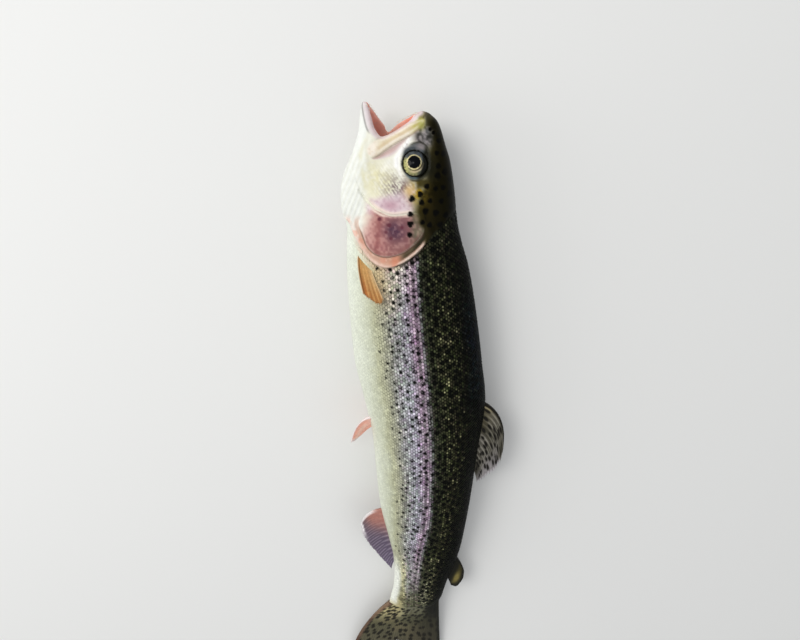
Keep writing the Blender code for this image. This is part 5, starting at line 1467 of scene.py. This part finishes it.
def teeth():
    """Small backward-leaning cones along both jaws, joined in one mesh."""
    rng = np.random.default_rng(12)
    verts, faces = [], []

    def cone(s, x, w, ds, dx, dw, tall, wide):
        axis = np.array([ds, dx, dw])
        axis = axis / np.linalg.norm(axis)
        u = np.cross(axis, (0.3, 0.2, 0.9))
        u /= np.linalg.norm(u)
        v = np.cross(axis, u)
        start = len(verts)
        for ring, (h, r) in enumerate(((-0.45, 1.0), (0.25, 0.85), (0.65, 0.5), (0.9, 0.22))):
            for k in range(7):
                a_ = 2 * pi * k / 7
                p = np.array([s, x, w]) + axis * h * tall + (u * cos(a_) + v * sin(a_)) * r * wide + np.array([0.12, 0, 0]) * h * h * tall
                verts.append(p)
        verts.append(np.array([s, x, w]) + axis * tall + np.array([0.12, 0, 0]) * tall)
        verts.append(np.array([s, x, w]) - axis * 0.45 * tall)
        for ring in range(3):
            for k in range(7):
                a_, b_ = start + 7 * ring + k, start + 7 * ring + (k + 1) % 7
                faces.append((a_, b_, b_ + 7))
                faces.append((a_, b_ + 7, a_ + 7))
        for k in range(7):
            faces.append((start + 21 + k, start + 21 + (k + 1) % 7, start + 28))
            faces.append((start + (k + 1) % 7, start + k, start + 29))

    upper_near = [(1.9, 6.9), (2.7, 6.0), (4.0, 5.2), (5.4, 4.4), (6.6, 2.4), (7.6, 0.7), (8.6, -1.2), (9.5, -3.0)]
    lower_near = [(-1.4, -13.5), (0.4, -13.1), (2.4, -12.8), (4.4, -12.3), (6.2, -11.8), (7.8, -11.1)]
    for side in (1, -1):
        for n_, (line, way) in enumerate(((upper_near, -1.0), (lower_near, 1.0))):
            line = np.array(line)
            if side < 0:
                far = np.array([(1.6, 6.6), (2.4, 5.2), (3.2, 3.6), (4.0, 2.0), (4.8, 0.2), (5.6, -1.2)]) if n_ == 0 else \
                    np.array([(-1.4, -12.6), (0.2, -11.6), (1.6, -10.6), (3.2, -9.6), (4.6, -8.6)])
                line = far
            length = np.concatenate([[0], np.cumsum(np.hypot(*np.diff(line, axis=0).T))])
            for d in np.arange(0.3, length[-1], 1.15):
                s = float(np.interp(d, length, line[:, 0])) + rng.uniform(-0.1, 0.1)
                x = float(np.interp(d, length, line[:, 1]))
                w = side * (float(mouth_half(s)) + 0.55)
                cone(s, x - 0.15 * way * -1, w, 0.35, way, -0.25 * side, rng.uniform(0.75, 1.15), rng.uniform(0.17, 0.23))
    verts_ = np.array(verts)
    ob = add_mesh("teeth", world(verts_[:, 0], verts_[:, 1], verts_[:, 2]), np.array(faces))
    me = ob.data
    import bmesh
    bm = bmesh.new()
    bm.from_mesh(me)
    bmesh.ops.recalc_face_normals(bm, faces=bm.faces)
    bm.to_mesh(me)
    bm.free()
    paint(ob, np.zeros((len(verts_), 3)) + srgb(238, 232, 214))
    ob.data.materials.append(tooth_mat)
    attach(ob, "root")


tongue()
teeth()
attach(skin, "root")
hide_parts("head", "throat", "lower_jaw", "trunk", "tail", "gill_cover_L", "gill_cover_R", "maxilla_L", "maxilla_R")


# ---------------------------------------------------------------- floor, light, camera
def studio():
    sc = bpy.context.scene
    bpy.ops.mesh.primitive_plane_add(size=4.0, location=(0.0, 0.0, -0.0002))
    floor = bpy.context.object
    floor.name = "floor"
    mat = bpy.data.materials.new("floor")
    mat.use_nodes = True
    p = mat.node_tree.nodes["Principled BSDF"]
    p.inputs["Base Color"].default_value = (0.80, 0.80, 0.79, 1.0)
    p.inputs["Roughness"].default_value = 0.85
    floor.data.materials.append(mat)
    world_ = bpy.data.worlds.new("studio")
    sc.world = world_
    world_.use_nodes = True
    bg = world_.node_tree.nodes["Background"]
    bg.inputs["Color"].default_value = (0.97, 0.985, 1.0, 1.0)
    bg.inputs["Strength"].default_value = 0.50

    def area(name, loc, target, size, power, colour):
        light = bpy.data.lights.new(name, 'AREA')
        light.shape = 'RECTANGLE'
        light.size, light.size_y = size
        light.energy = power
        light.color = colour
        ob = bpy.data.objects.new(name, light)
        sc.collection.objects.link(ob)
        ob.location = loc
        d = np.array(target) - np.array(loc)
        from mathutils import Vector
        ob.rotation_euler = Vector(d).to_track_quat('-Z', 'Y').to_euler()
        return ob

    area("key", (-0.60, 0.55, 0.85), (0, 0.03, 0), (0.6, 0.6), 6.4, (1.0, 0.99, 0.96))
    area("fill", (0.75, -0.2, 0.8), (0, 0, 0), (0.9, 0.9), 1.0, (0.96, 0.98, 1.0))
    area("rim", (-0.85, 0.05, 0.30), (0, 0.0, 0.02), (0.5, 0.4), 1.3, (1.0, 1.0, 1.0))
    area("spark", (-0.10, 0.60, 0.9), (0, 0.0, 0), (0.16, 0.16), 0.8, (1.0, 1.0, 1.0))
    cam = bpy.data.cameras.new("camera")
    cam.lens = 27.72
    cam.sensor_width = 36.0
    cam.clip_start = 0.01
    ob = bpy.data.objects.new("camera", cam)
    sc.collection.objects.link(ob)
    ob.location = (-CENTRE_X * MM, CENTRE_S * MM, 0.2767)
    ob.rotation_euler = (radians(-19.0), 0.0, 0.0)
    sc.camera = ob
    sc.view_settings.view_transform = 'Standard'


studio()
